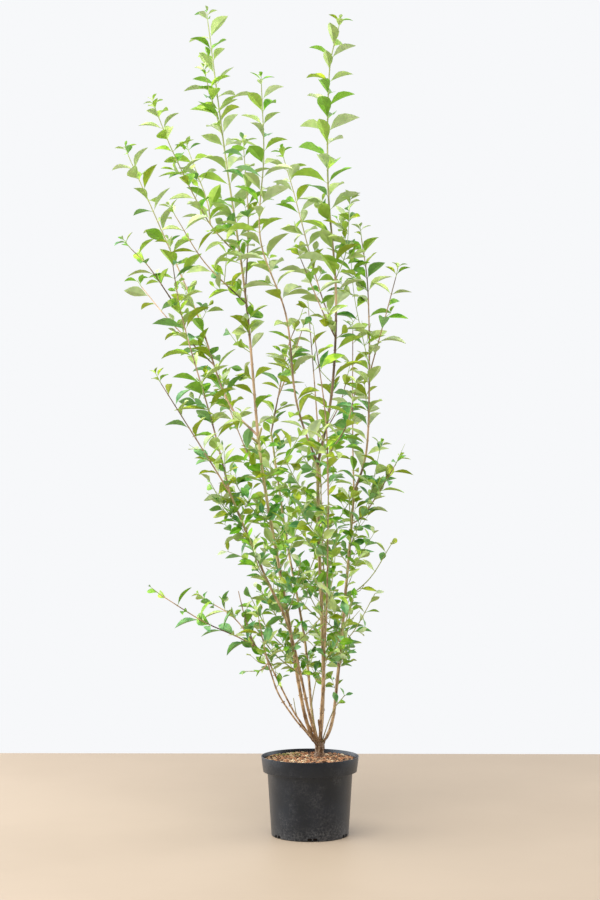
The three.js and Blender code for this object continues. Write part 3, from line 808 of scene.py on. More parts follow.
@dataclass(frozen=True)
class PotFinish(Finish):
    """Matt moulded plastic with dust and scuffs. The dust's height is in metres."""

    dust: Tone = (150, 150, 150)
    dust_height: float = 0.045
    dust_amount: float = 0.42
    dusty_roughness: float = 0.9
    gloss: float = 0.6
    gloss_tint: tuple[float, float, float, float] = (0.78, 0.88, 1.0, 1.0)

    def feeds(self, wiring: Wiring, spot: Socket, place: Socket) -> dict[str, object]:
        """Lays the dust over the plastic.

        Args:
            wiring: the material's tree.
            spot: the stretched coordinates of the pattern.
            place: the plain coordinates in metres.

        Returns:
            A value or a socket for each input of the shader.
        """
        feeds = super().feeds(wiring, spot, place)
        dusty = Dust().place(wiring, vector=place, color=feeds["Base Color"],
                             dust=linear(self.dust), top=self.dust_height, amount=self.dust_amount)
        ends = self.roughness, self.dusty_roughness
        rough = wiring.ranged(dusty["Mask"], (0.0, 1.0), ends, "LINEAR")
        return feeds | {"Base Color": dusty["Color"], "Roughness": rough,
                        "Specular IOR Level": self.gloss, "Specular Tint": self.gloss_tint}


class LeafSides:
    """The three finishes of a leaf of one tone, each mixed with a lighter and a deeper green
    (painted light and shade on the upper side).
    """

    PALE = (LeafTone.FRESH, LeafTone.TIP)
    # The upper side's deep and light greens are painted shade and painted light within each leaf.
    UPPER_PAINTED_SHADE_AND_LIGHT = (20, 76, 6), (222, 240, 120)
    # The underside's pale green is partly its real paler colour, partly painted light standing in
    # for light through the leaf.
    UNDER_GREENS = (80, 122, 40), (190, 212, 134)
    RIB_GREENS = (120, 130, 70), (196, 206, 140)

    @classmethod
    def upper(cls, tone: LeafTone) -> LeafFinish:
        """Mixes the finish of the upper side, with blotches of painted shade and painted light.

        Args:
            tone: the leaf's tone.

        Returns:
            The finish.
        """
        # Painted shade and painted light, blotched over the upper side.
        deep, light = cls.UPPER_PAINTED_SHADE_AND_LIGHT
        deep = mixed(tone.value, deep, 0.14 if tone in cls.PALE else 0.3)
        light = mixed(tone.value, light, 0.26)
        return LeafFinish(f"leaf_{tone.name.lower()}", deep, light, 60.0, 0.34, 180.0, 0.00016)

    @classmethod
    def under(cls, tone: LeafTone) -> LeafFinish:
        """Mixes the finish of the paler, duller underside: partly its real paler colour, partly
        painted light in place of light through the leaf.

        Args:
            tone: the leaf's tone.

        Returns:
            The finish.
        """
        deep, pale = cls.UNDER_GREENS
        # The paler underside is partly painted light through the leaf.
        pale = mixed(tone.value, pale, 0.4)
        return LeafFinish(f"leaf_{tone.name.lower()}_under", mixed(pale, deep, 0.16), pale, 60.0,
                          0.58, 180.0, 0.00012)

    @classmethod
    def rib(cls, tone: LeafTone) -> LeafFinish:
        """Mixes the finish of the pale rib and stalk.

        Args:
            tone: the leaf's tone.

        Returns:
            The finish.
        """
        deep, pale = cls.RIB_GREENS
        pale = mixed(tone.value, pale, 0.5)
        return LeafFinish(f"leaf_{tone.name.lower()}_rib", mixed(pale, deep, 0.2), pale, 90.0,
                          0.5, 500.0, 0.00005)

    @classmethod
    def all(cls) -> list[LeafFinish]:
        """Returns the finishes of every tone in order: upper side, underside, rib."""
        return [side(tone) for tone in LeafTone for side in (cls.upper, cls.under, cls.rib)]


class Draft:
    """Gathers many small closed shapes for one mesh."""

    def __init__(self) -> None:
        """Starts empty."""
        self.spots: list[np.ndarray] = []
        self.faces: Faces = []
        self.looks: list[int] = []
        self.count = 0

    def add(self, spots: np.ndarray, faces: Faces, looks: Iterable[int]) -> None:
        """Adds one shape.

        Args:
            spots: its vertices, one row each.
            faces: its faces over those vertices.
            looks: the material number of each face.
        """
        base = self.count
        self.spots.append(spots)
        self.faces.extend(tuple(corner + base for corner in face) for face in faces)
        self.looks.extend(looks)
        self.count += len(spots)

    def build(self, name: str, finishes: Iterable[Finish], crease: float) -> Piece:
        """Makes the mesh and its object.

        Args:
            name: the piece's name.
            finishes: its finishes in the order of the material numbers.
            crease: the angle in degrees past which an edge is sharp.

        Returns:
            The object.
        """
        mesh = bpy.data.meshes.new(name)
        mesh.from_pydata(np.concatenate(self.spots).tolist(), [], self.faces)
        mesh.polygons.foreach_set("material_index", self.looks)
        return finished(name, mesh, finishes, crease)


def placed(name: str, data: bpy.types.ID) -> Piece:
    """Puts a mesh, a lamp or a camera in the scene.

    Args:
        name: the name of its object.
        data: what the object shows.

    Returns:
        The object.
    """
    piece = bpy.data.objects.new(name, data)
    bpy.context.scene.collection.objects.link(piece)
    return piece


def meshed(name: str, shape: bmesh.types.BMesh) -> bpy.types.Mesh:
    """Turns a shape into a mesh and frees the shape.

    Args:
        name: the mesh's name.
        shape: the shape.

    Returns:
        The mesh.
    """
    mesh = bpy.data.meshes.new(name)
    shape.to_mesh(mesh)
    shape.free()
    return mesh


def finished(name: str, mesh: bpy.types.Mesh, finishes: Iterable[Finish],
             crease: float = 35.0) -> Piece:
    """Puts a mesh in the scene with its materials and smooth shading.

    Args:
        name: the piece's name.
        mesh: its mesh, in place.
        finishes: its finishes in the order of the material numbers.
        crease: the angle in degrees past which an edge is sharp.

    Returns:
        The object.
    """
    for finish in finishes:
        mesh.materials.append(finish.material())
    mesh.polygons.foreach_set("use_smooth", [True] * len(mesh.polygons))
    mesh.set_sharp_from_angle(angle=math.radians(crease))
    mesh.update()
    return placed(name, mesh)


def declare(piece: Piece, nodes: Iterable[str]) -> None:
    """Sets a piece on the body and in place of its nodes, and reports it.

    Args:
        piece: the object.
        nodes: the frame's nodes that it stands for.
    """
    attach(piece, "root")
    if nodes:
        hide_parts(*nodes)
    faces = sum(len(face.vertices) - 2 for face in piece.data.polygons)
    log.info("%s: %d triangles", piece.name, faces)


def spun(outline: Iterable[Pair], sides: int) -> bmesh.types.BMesh:
    """Turns a closed outline round the vertical axis.

    Args:
        outline: radius and height of each corner in mm, from the axis round to the axis again.
        sides: the number of steps in the turn.

    Returns:
        The closed shell.
    """
    shell = bmesh.new()
    corners = [shell.verts.new((radius * MM, 0.0, height * MM)) for radius, height in outline]
    edges = [shell.edges.new(pair) for pair in zip(corners, corners[1:])]
    bmesh.ops.spin(shell, geom=corners + edges, cent=(0, 0, 0), axis=UP,
                   angle=math.tau, steps=sides, use_merge=True)
    bmesh.ops.remove_doubles(shell, verts=shell.verts, dist=TOUCH)
    bmesh.ops.recalc_face_normals(shell, faces=shell.faces)
    return shell


def rounded(shape: bmesh.types.BMesh, edges: list[bmesh.types.BMEdge], reach: float) -> None:
    """Rounds some edges of a shape over a reach in mm."""
    bmesh.ops.bevel(shape, geom=edges, offset=reach * MM, segments=3, profile=0.5,
                    affect="EDGES", material=-1)


def applied(piece: Piece, name: str) -> bpy.types.Mesh:
    """Takes a piece's mesh with its modifiers applied and removes the piece.

    Args:
        piece: the object with its modifiers.
        name: the name of the new mesh.

    Returns:
        The finished mesh.
    """
    bpy.context.view_layer.update()
    graph = bpy.context.evaluated_depsgraph_get()
    mesh = bpy.data.meshes.new_from_object(piece.evaluated_get(graph))
    mesh.name = name
    bpy.data.objects.remove(piece)
    return mesh


@dataclass
class Pot:
    """The turned nursery pot with its collar and drain slots. Sizes are in mm."""

    height: float = 181.0
    wall: float = 2.0
    floor: float = 3.0
    foot_radius: float = 88.8
    shoulder_radius: float = 98.0
    collar_height: float = 35.0
    collar_low_radius: float = 108.0
    collar_top_radius: float = 112.5
    foot_chamfer: float = 1.8
    slot_pairs: int = 6
    slot_width: float = 10.0
    slot_height: float = 8.0
    slot_rib: float = 2.5
    slot_reach: float = 9.0
    slot_turn: float = 34.0
    slot_rounding: float = 2.5
    rim_rounding: float = 0.7
    sides: int = 144
    finish: PotFinish = PotFinish("pot_plastic", (8, 12, 20), (18, 22, 32), 14.0, 0.36, 900.0,
                                  0.00012)

    def profile(self) -> list[Pair]:
        """Draws half of the pot's outline.

        Returns:
            The radius and height of each corner.
        """
        step = self.height - self.collar_height
        wall = self.wall
        return [
            (0, 0), (self.foot_radius - self.foot_chamfer, 0),
            (self.foot_radius, self.foot_chamfer),
            (blend(self.foot_radius, self.shoulder_radius, 0.5), step / 2),
            (self.shoulder_radius, step), (self.collar_low_radius, step),
            (self.collar_top_radius, self.height), (self.collar_top_radius - wall, self.height),
            (self.collar_low_radius - wall, step + wall),
            (self.shoulder_radius - wall, step + wall),
            (self.foot_radius - wall, self.floor), (0, self.floor),
        ]

    def slots(self) -> Piece:
        """Makes the blocks that cut the drain slots.

        Returns:
            The blocks, as one object.
        """
        blocks = bmesh.new()
        size = Matrix.Diagonal((self.slot_reach * 2 * MM, self.slot_width * MM,
                                self.slot_height * 2 * MM, 1))
        for pair in range(self.slot_pairs):
            for hand in (-0.5, 0.5):
                offset = hand * (self.slot_width + self.slot_rib)
                turn = math.radians(self.slot_turn + pair * 360 / self.slot_pairs)
                place = (Matrix.Rotation(turn, 4, "Z")
                         @ Matrix.Translation(Vector((self.foot_radius, offset, 0)) * MM) @ size)
                made = bmesh.ops.create_cube(blocks, size=1.0, matrix=place)
                edges = {edge for vert in made["verts"] for edge in vert.link_edges}
                tops = [e for e in edges if all(v.co.z > 0 for v in e.verts)]
                rounded(blocks, tops, self.slot_rounding)
        return placed("slot_blocks", meshed("slot_blocks", blocks))

    def rims(self, shell: bmesh.types.BMesh) -> list[bmesh.types.BMEdge]:
        """Finds the round edges of the pot's foot and collar.

        Args:
            shell: the turned pot.

        Returns:
            Its edges.
        """
        step = (self.height - self.collar_height) * MM
        found = []
        for edge in shell.edges:
            one, other = (vert.co for vert in edge.verts)
            level = max(abs(one.z - other.z), abs(one.xy.length - other.xy.length)) < TOUCH
            outer = min(one.xy.length, other.xy.length) > self.shoulder_radius / 2 * MM
            if level and outer and (one.z > step - 10 * TOUCH or one.z < self.wall * MM):
                found.append(edge)
        return found

    def build(self) -> None:
        """Builds the pot and dresses it."""
        shell = spun(self.profile(), self.sides)
        rounded(shell, self.rims(shell), self.rim_rounding)
        piece = placed("pot_cut", meshed("pot_shell", shell))
        cutter = self.slots()
        cut = piece.modifiers.new("slots", "BOOLEAN")
        cut.operation, cut.solver, cut.object = "DIFFERENCE", "EXACT", cutter
        mesh = applied(piece, "pot_shell")
        bpy.data.objects.remove(cutter)
        declare(finished("pot_shell", mesh, [self.finish], 30.0), ["pot"])


@dataclass
class Soil:
    """The mounded soil with its mulch of bark chips. Sizes are in mm."""

    pot: Pot
    edge_height: float = 171.5
    height: float = 173.5
    flat_radius: float = 60.0
    slope_radius: float = 108.0
    fade_radius: float = 109.0
    fade_width: float = 12.0
    gap: float = 0.3
    mound_lift: float = 0.1
    roughness: float = 1.6
    bump_scales: Pair = (0.045, 0.13)
    fluff: float = 0.6
    rings: int = 26
    sides: int = 120
    chips: int = 1250
    chip_corners: Pair = (5, 8)
    chip_wander: float = 0.5
    chip_length: Pair = (3.0, 20.0)
    chip_width: Pair = (0.3, 0.75)
    chip_thickness: Pair = (0.8, 2.2)
    chip_inset: Pair = (0.7, 0.95)
    chip_slant: Pair = (0.6, 1.3)
    chip_margin: float = 7.0
    chip_tilt: float = 50.0
    chip_lift: float = 1.6
    chip_top: float = 178.5
    trunk: Pair = (22.0, 20.0)
    trunk_gap: float = 12.5
    finish: Finish = Finish("soil_crumb", (60, 41, 28), (108, 78, 54), 160.0, 0.95, 420.0, 0.0022)
    # The soil's faces that reach below the height under this, in mm, take a near-black finish.
    dark_low_finish: Finish = Finish("soil_damp", (20, 12, 7), (34, 22, 14), 160.0, 0.9, 420.0,
                                 0.0022)
    dark_below: float = 40.0
    chip_grain: ClassVar[Point] = (1, 1, 3)
    chip_finishes: tuple[Finish, ...] = (
        Finish("chip_orange", (160, 104, 70), (196, 143, 100), 130.0, 0.85, 380.0, 0.0006,
               chip_grain),
        Finish("chip_tan", (162, 129, 94), (200, 166, 127), 130.0, 0.85, 380.0, 0.0006,
               chip_grain),
        Finish("chip_brown", (74, 50, 37), (115, 82, 60), 130.0, 0.9, 380.0, 0.0006, chip_grain),
        Finish("chip_pale", (214, 192, 152), (240, 222, 186), 130.0, 0.8, 380.0, 0.0005,
               chip_grain),
        Finish("moss", (120, 118, 60), (176, 168, 96), 200.0, 0.95, 500.0, 0.001),
    )
    # Where the numbers from 0 to 1 pass from one of the first four finishes to the next.
    chip_limits: Point = (0.36, 0.62, 0.91)
    moss_share: float = 0.4
    moss_corner: Pair = (-25.0, 30.0)

    def surface(self, x: float, y: float) -> float:
        """Finds the soil's height at a spot.

        Args:
            x: the spot's place across the pot, in mm.
            y: its place to the back, in mm.

        Returns:
            The height in mm.
        """
        reach = math.hypot(x, y)
        share = limited((reach - self.flat_radius) / (self.slope_radius - self.flat_radius))
        broad, fine = (noise.noise(Vector((x, y, place)) * scale)
                       for place, scale in zip((0, 9), self.bump_scales))
        fade = limited((self.fade_radius - reach) / self.fade_width)
        level = blend(self.height, self.edge_height, share)
        return level + self.roughness * (broad + 0.5 * fine) * fade + self.fluff * fade

    def bed(self) -> None:
        """Builds the bed of soil that fills the pot."""
        pot = self.pot
        step = pot.height - pot.collar_height + pot.wall
        inset = pot.wall + self.gap
        slope = (pot.collar_top_radius - pot.collar_low_radius) / pot.collar_height
        edge = pot.collar_low_radius + slope * (self.edge_height - step) - inset
        outline = [(0, pot.floor + self.gap), (pot.foot_radius - inset, pot.floor + self.gap),
                   (pot.shoulder_radius - inset, step + self.gap),
                   (pot.collar_low_radius - inset, step + self.gap), (edge, self.edge_height)]
        outline += [(edge * (1 - ring / self.rings), self.edge_height + self.mound_lift)
                    for ring in range(1, self.rings + 1)]
        shell = spun(outline, self.sides)
        for vert in shell.verts:
            if vert.co.z > (self.edge_height + self.mound_lift / 2) * MM:
                vert.co.z = self.surface(vert.co.x / MM, vert.co.y / MM) * MM
        for face in shell.faces:
            # Faces that reach below that height take the near-black finish.
            face.material_index = int(min(vert.co.z for vert in face.verts) < self.dark_below * MM)
        mesh = meshed("soil_bed", shell)
        finishes = [self.finish, self.dark_low_finish]
        declare(finished("soil_bed", mesh, finishes, 60.0), ["soil"])

    def chip(self, draw: Draws) -> tuple[np.ndarray, Faces]:
        """Makes one chip round the origin.

        Args:
            draw: the stream of its numbers.

        Returns:
            Its vertices in mm and its faces.
        """
        corners = int(draw.between(*self.chip_corners))
        length = blend(*self.chip_length, draw.share() ** 2)
        width = length * draw.between(*self.chip_width)
        thick = draw.between(*self.chip_thickness)
        ring = []
        for index in range(corners):
            angle = math.tau * (index + draw.sway(self.chip_wander)) / corners
            ring.append((math.cos(angle) * length / 2, math.sin(angle) * width / 2))
        low = [(x, y, -thick / 2) for x, y in ring]
        high = [(x * draw.between(*self.chip_inset), y * draw.between(*self.chip_inset),
                 thick / 2 * draw.between(*self.chip_slant)) for x, y in ring]
        walls = [(i, (i + 1) % corners, corners + (i + 1) % corners, corners + i)
                 for i in range(corners)]
        caps = [tuple(reversed(range(corners))), tuple(range(corners, corners * 2))]
        return np.array(low + high), walls + caps

    def mulch(self) -> None:
        """Scatters the chips over the bed."""
        draft = Draft()
        for index in range(self.chips):
            draw = Draws(f"chip/{index}")
            spots, faces = self.chip(draw)
            reach = (self.pot.collar_low_radius - self.chip_margin) * math.sqrt(draw.share())
            turn = draw.share() * math.tau
            x, y = reach * math.cos(turn), reach * math.sin(turn)
            if math.hypot(x - self.trunk[0], y - self.trunk[1]) < self.trunk_gap:
                continue
            tilt = Matrix.Rotation(draw.share() * math.tau, 3, "Z")
            for axis in "YX":
                tilt = tilt @ Matrix.Rotation(math.radians(draw.sway(self.chip_tilt)), 3, axis)
            spots = spots @ np.array(tilt).T
            spots += (x, y, self.surface(x, y) + draw.between(0.0, self.chip_lift))
            spots[:, 2] = np.minimum(spots[:, 2], self.chip_top)
            pick = draw.share()
            look = sum(pick >= limit for limit in self.chip_limits)
            mossy = x < self.moss_corner[0] and y > self.moss_corner[1]
            if mossy and draw.share() < self.moss_share:
                look = len(self.chip_finishes) - 1
            draft.add(spots * MM, faces, [look] * len(faces))
        declare(draft.build("bark_chips", self.chip_finishes, 20.0), [])

    def build(self) -> None:
        """Builds the bed and the mulch."""
        self.bed()
        self.mulch()


@dataclass
class Tube:
    """A round stem of many rings, closed at both ends, that thickens a little at its nodes."""

    limb: Limb
    sides: int = 8
    step: float = 14 * MM
    nodes: list[float] = field(default_factory=list)
    swell: float = 0.28
    swell_reach: float = 2.6 * MM
    swell_margin: float = 1.3
    point: float = 1.6
    start: float = 0.0

    def marks(self) -> list[float]:
        """Spaces the rings along the limb.

        Returns:
            Their distances from the foot, in metres.
        """
        spots = {self.start, self.limb.length}
        count = max(1, round((self.limb.length - self.start) / self.step))
        spots.update(blend(self.start, self.limb.length, index / count) for index in range(count))
        for node in self.nodes:
            spots = {s for s in spots if abs(s - node) > self.swell_reach * self.swell_margin}
            spots.update((node - self.swell_reach, node, node + self.swell_reach))
        inner = [s for s in spots if self.start < s < self.limb.length - 1 * MM]
        return sorted({self.start, *inner, self.limb.length})

    def reach(self, mark: float, turn: float) -> float:
        """Returns the radius at a distance and turn, thicker at the nodes."""
        return self.limb.radius_at(mark) * (1 + self.swell * (mark in self.nodes))

    def add_to(self, draft: Draft, look: int) -> None:
        """Adds the tube to a draft.

        Args:
            draft: the draft.
            look: the material number of its faces.
        """
        marks = self.marks()
        turns = [index * 360 / self.sides for index in range(self.sides)]
        rows = []
        for mark in marks:
            point = self.limb.point_at(mark)
            rows += [point + self.limb.outward_at(mark, turn) * self.reach(mark, turn)
                     for turn in turns]
        end = self.limb.length
        point = self.limb.tangent_at(end) * self.limb.radii[1] * self.point
        rows.append(self.limb.point_at(end) + point)
        sides, last = self.sides, len(marks) - 1
        faces = [tuple(reversed(range(sides)))]
        for ring in range(last):
            for index in range(sides):
                here, there = ring * sides + index, ring * sides + (index + 1) % sides
                faces.append((here, there, there + sides, here + sides))
        tip = len(rows) - 1
        faces += [(last * sides + i, last * sides + (i + 1) % sides, tip) for i in range(sides)]
        draft.add(np.array(rows), faces, [look] * len(faces))


@dataclass
class BarkTube(Tube):
    """A stem with the relief of old bark: long ridges, fine grain and soft rings at its nodes."""

    sides: int = 18
    step: float = 3 * MM
    ridge: float = 0.09
    grain: float = 0.05
    ring: float = 0.17
    ring_reach: float = 3.2 * MM
    # How fine the ridges and the grain are round the stem and, by the metre, along it.
    ridge_scales: Pair = (1.5, 42.0)
    grain_scales: Pair = (3.4, 230.0)

    def marks(self) -> list[float]:
        """Returns the distances of the rings along the limb, evenly apart."""
        count = round((self.limb.length - self.start) / self.step)
        return np.linspace(self.start, self.limb.length, count + 1).tolist()

    def reach(self, mark: float, turn: float) -> float:
        """Finds the radius under the bark's relief.

        Args:
            mark: the distance along the limb.
            turn: the turn round it, in degrees.

        Returns:
            The radius in metres.
        """
        angle = math.radians(turn)
        seed = len(self.limb.name) * 3.7 + self.limb.length * 90
        x, y = math.cos(angle), math.sin(angle)
        ridges, grain = (noise.noise(Vector((x * across, y * across, mark * along + seed)))
                         for across, along in (self.ridge_scales, self.grain_scales))
        rings = max((math.exp(-((mark - node) / self.ring_reach) ** 2) for node in self.nodes),
                    default=0.0)
        return self.limb.radius_at(mark) * (
            1 + self.ridge * ridges + self.grain * grain + self.ring * rings)


@dataclass
class Leaf:
    """One leaf's place, shape and colour."""

    root: Vector
    ahead: Vector
    face: Vector
    length: float
    width: float
    bend: float
    fold: float
    wave: float
    curl: float
    tone: LeafTone

    # The blade in its rows from the stalk's foot: share of the length and half the width.
    ROWS = ((0.0, 0.011), (0.075, 0.012), (0.17, 0.27), (0.32, 0.72), (0.49, 0.98), (0.66, 0.86),
            (0.82, 0.52), (0.93, 0.2))
    STALK_ROWS = 2
    COLUMNS = (-1.0, -0.55, -0.035, 0.035, 0.55, 1.0)
    THICKNESS = 0.5 * MM
    STALK_RADIUS = 0.55 * MM
    WAVE_TURN = 1.2
    SWELL = 0.09

    def tip(self) -> Vector:
        """Returns the spot of the leaf's tip."""
        return self.root + self.ahead * self.length

    def middle(self) -> Vector:
        """Returns the spot in the middle of the leaf."""
        return self.root + self.ahead * self.length * 0.5

    def spots(self) -> np.ndarray:
        """Shapes the blade.

        Returns:
            Its vertices: seven for each row, and the tip.
        """
        across = self.face.cross(self.ahead)
        axes = np.array((self.ahead, across, self.face))
        half = self.bend / 2
        rows = []
        for number, (share, wide) in enumerate(self.ROWS):
            angle = half - self.bend * share
            along = self.length * (math.sin(half) - math.sin(angle)) / self.bend
            rise = self.length * (math.cos(angle) - math.cos(half)) / self.bend
            stalk = number < self.STALK_ROWS
            reach = self.STALK_RADIUS if stalk else wide * self.width / 2
            thick = self.STALK_RADIUS if stalk else self.THICKNESS / 2
            drift = self.curl * self.length * share**2
            for column in self.COLUMNS:
                out = abs(column)
                edge = self.wave * self.length * math.sin(number * self.WAVE_TURN + column)
                edge *= out**2
                swell = 0 if stalk else self.SWELL * reach * out * (1 - out)
                crown = thick * (1 - out**2) + swell
                lift = (0 if stalk else math.sin(self.fold) * reach * out + edge) + crown
                side = column * reach * (1 if stalk else math.cos(self.fold)) + drift
                rows.append((along - math.sin(angle) * lift, side, rise + math.cos(angle) * lift))
            rows.append((along + math.sin(angle) * thick, drift, rise - math.cos(angle) * thick))
        rows.append((self.length * 2 * math.sin(half) / self.bend, self.curl * self.length, 0.0))
        return np.array(rows) @ axes + np.array(self.root)

    @classmethod
    def layout(cls) -> tuple[Faces, list[int]]:
        """Works out the faces that all leaves share.

        Returns:
            The faces, and for each its side: 0 upper, 1 under, 2 rib.
        """
        columns, row = len(cls.COLUMNS), len(cls.COLUMNS) + 1
        faces, looks = [tuple(range(row))], [2]
        count = len(cls.ROWS)
        tip = count * row
        rib = columns // 2 - 1
        for number in range(count):
            here, there = number * row, (number + 1) * row
            stalk = number < cls.STALK_ROWS - 1
            for column in range(columns - 1):
                near, far = here + column, there + column
                last = number == count - 1
                faces.append((near, tip, near + 1) if last else (near, far, far + 1, near + 1))
                looks.append(2 if stalk or column == rib else 0)
            under = here + columns
            pairs = ((here + columns - 1, under, there + columns - 1, there + columns),
                     (under, here, there + columns, there))
            for a, b, c, d in pairs:
                faces.append((a, tip, b) if number == count - 1 else (a, c, d, b))
                looks.append(2 if stalk else 1)
        return faces, looks


@dataclass
class Stems:
    """The stool and the boughs with their bark. Sizes are in mm."""

    stool: Point = (22.0, 20.0, 194.0)
    profile: tuple[Pair, ...] = ((13.5, 172.3), (11.6, 178), (10.2, 188), (11, 199), (9, 208))
    profile_sides: int = 24
    voxel: float = 1.1
    collar: float = 46.0
    collar_overlap: float = 14.0
    collar_sides: int = 14
    collar_rings: int = 8
    collar_step: float = 5.0
    crease: float = 80.0
    slimming: float = 0.92
    inner: tuple[str, ...] = ("back", "front")
    inner_slimming: float = 0.6
    old_ridge: float = 2.6
    young_share: float = 0.2
    # The heights between which old bark turns young, in metres, and how fine its relief is
    # across and up the stems, by the metre.
    young_heights: Pair = (0.2, 0.23)
    ridge_scales: Pair = (150.0, 46.0)
    grain_scales: Pair = (420.0, 260.0)
    scar_first: float = 90.0
    scar_last: float = 20.0
    scar_spacing: Pair = (34.0, 52.0)
    stub_radius: float = 3.0
    stub_taper: float = 0.9
    knot_taper: float = 0.85
    knot_step: float = 2.0
    knot_ridge: float = 0.2
    spur_length: Pair = (0.2, 3.0)
    spur_radius: Pair = (1.0, 1.6)
    spur_taper: float = 0.75
    spur_turn_spread: float = 30.0
    spur_lift: float = 0.5
    spur_sides: int = 7
    finish: BarkFinish = BarkFinish("stem_bark", (122, 90, 58), (226, 192, 146), 170.0, 0.5, 420.0,
                                    0.0007, (1, 1, 0.1))
    scar_finish: BarkFinish = BarkFinish("stem_scar", (84, 60, 42), (138, 104, 74), 200.0, 0.85,
                                         600.0, 0.0005, (1, 1, 0.5))
    stubs: tuple[tuple[Point, Point], ...] = (
        ((8, 4, 236), (-8, 8, 256)), ((24, 4, 236), (20, -2, 262)),
    )
    knots: tuple[tuple[Point, Point], ...] = (
        ((-118, -65, 905), (-110, -70, 932)), ((-114, -64, 896), (-130, -72, 910)),
        ((18, 0, 840), (12, -4, 866)), ((104, 115, 774), (112, 112, 797)),
    )

    limbs: dict[str, Limb] = field(default_factory=dict)

    def __post_init__(self) -> None:
        """Draws the limb of each bough from inside the stool."""
        for bough in BOUGHS:
            thin = (self.inner_slimming if bough.key in self.inner else self.slimming) * MM
            self.limbs[bough.key] = Limb(bough.node, map(metres, (self.stool, *bough.points)),
                                         (bough.radii[0] * thin, bough.radii[1] * thin))

    def stumps(self, kind: str, pairs: Iterable[tuple[Point, Point]], taper: float) -> list[Limb]:
        """Draws a short limb between each pair of points.

        Args:
            kind: what the limbs are called.
            pairs: the foot and the tip of each, in mm.
            taper: the tip's radius as a share of the foot's.

        Returns:
            The limbs.
        """
        radii = scaled((self.stub_radius, self.stub_radius * taper))
        return [Limb(f"{kind}_{number}", map(metres, pair), radii)
                for number, pair in enumerate(pairs)]

    def scars(self, limb: Limb) -> list[float]:
        """Spaces the old leaf scars along a bough.

        Args:
            limb: the bough.

        Returns:
            Their distances from its foot, in metres.
        """
        draw = Draws(f"{limb.name}/scars")
        marks, place = [], self.scar_first * MM
        while place < limb.length - self.scar_last * MM:
            marks.append(place)
            place += draw.between(*self.scar_spacing) * MM
        return marks

    def base(self) -> None:
        """Builds the stool, the foot of each bough and the cut stubs under one skin."""
        draft = Draft()
        for limb in self.limbs.values():
            marks = np.linspace(0.0, self.collar * MM, self.collar_rings)
            foot = Limb(limb.name, [limb.point_at(mark) for mark in marks],
                        (limb.radii[0], limb.radius_at(self.collar * MM)))
            Tube(foot, self.collar_sides, self.collar_step * MM).add_to(draft, 0)
        for stub in self.stumps("stub", self.stubs, self.stub_taper):
            Tube(stub, self.collar_sides).add_to(draft, 0)
        rough = draft.build("base_rough", [], 180.0)
        outline = [(0, self.profile[0][1]), *self.profile, (0, self.profile[-1][1])]
        stool = spun(outline, self.profile_sides)
        place = (self.stool[0] * MM, self.stool[1] * MM, 0)
        bmesh.ops.translate(stool, verts=stool.verts, vec=place)
        stool.from_mesh(rough.data)
        stool.to_mesh(rough.data)
        stool.free()
        remesh = rough.modifiers.new("skin", "REMESH")
        remesh.mode, remesh.voxel_size = "VOXEL", self.voxel * MM
        mesh = applied(rough, "bark_base")
        self.roughen(mesh)
        mesh.materials.clear()
        declare(finished("bark_base", mesh, [self.finish], self.crease), ["trunk"])

    def build(self) -> None:
        """Builds the base and the boughs above it, with their scars and knots."""
        self.base()
        draft = Draft()
        start = (self.collar - self.collar_overlap) * MM
        for limb in self.limbs.values():
            scars = self.scars(limb)
            BarkTube(limb, nodes=scars, start=start).add_to(draft, 0)
            for index, scar in enumerate(scars):
                self.spur(limb, scar, index, draft)
        for number, knot in enumerate(self.stumps("knot", self.knots, self.knot_taper)):
            tube = BarkTube(knot, step=self.knot_step * MM, ridge=self.knot_ridge)
            tube.add_to(draft, number % 2)
        piece = draft.build("bark_stems", [self.finish, self.scar_finish], self.crease)
        declare(piece, [bough.node for bough in BOUGHS])

    def spur(self, limb: Limb, scar: float, index: int, draft: Draft) -> None:
        """Adds the small spurs that old side shoots leave at a scar.

        Args:
            limb: the bough.
            scar: how far along it the scar is.
            index: the scar's number.
            draft: the draft they are added to.
        """
        draw = Draws(f"{limb.name}/spur/{index}")
        point, ahead = limb.point_at(scar), limb.tangent_at(scar) * self.spur_lift
        for hand in (0, 180):
            turn = index * 90 + hand + draw.sway(self.spur_turn_spread)
            outward = (limb.outward_at(scar, turn) + ahead).normalized()
            length = limb.radius_at(scar) + draw.between(*self.spur_length) * MM
            thick = draw.between(*self.spur_radius) * MM
            spur = Limb(f"{limb.name}/spur/{index}", [point, point + outward * length],
                        (thick, thick * self.spur_taper))
            Tube(spur, self.spur_sides).add_to(draft, 1)

    def roughen(self, mesh: bpy.types.Mesh) -> None:
        """Moves the skin's vertices in and out for the bark's relief.

        Args:
            mesh: the skin.
        """
        spots, normals = np.empty((2, len(mesh.vertices) * 3))
        mesh.vertices.foreach_get("co", spots)
        mesh.vertex_normals.foreach_get("vector", normals)
        spots, normals = spots.reshape(-1, 3), normals.reshape(-1, 3)
        heights = []
        low, high = self.young_heights
        for x, y, z in spots:
            ridges, grain = (noise.noise(Vector((x * across, y * across, z * up)))
                             for across, up in (self.ridge_scales, self.grain_scales))
            old = blend(1.0, self.young_share, limited((z - low) / (high - low)))
            heights.append((ridges + 0.5 * grain) * self.old_ridge * MM * old)
        spots += normals * np.array(heights)[:, None]
        spots[:, 2] = np.maximum(spots[:, 2], self.profile[0][1] * MM)
        mesh.vertices.foreach_set("co", spots.ravel())
        mesh.update()


@dataclass
class Grown:
    """One limb of the crown with its habit, its rank, its piece and where its leaves are."""

    limb: Limb
    habit: Habit
    rank: int
    group: str
    leafy: Pair = (0.0, 1.0)
    tone: LeafTone | None = None
    leaf_scale: float = 1.0


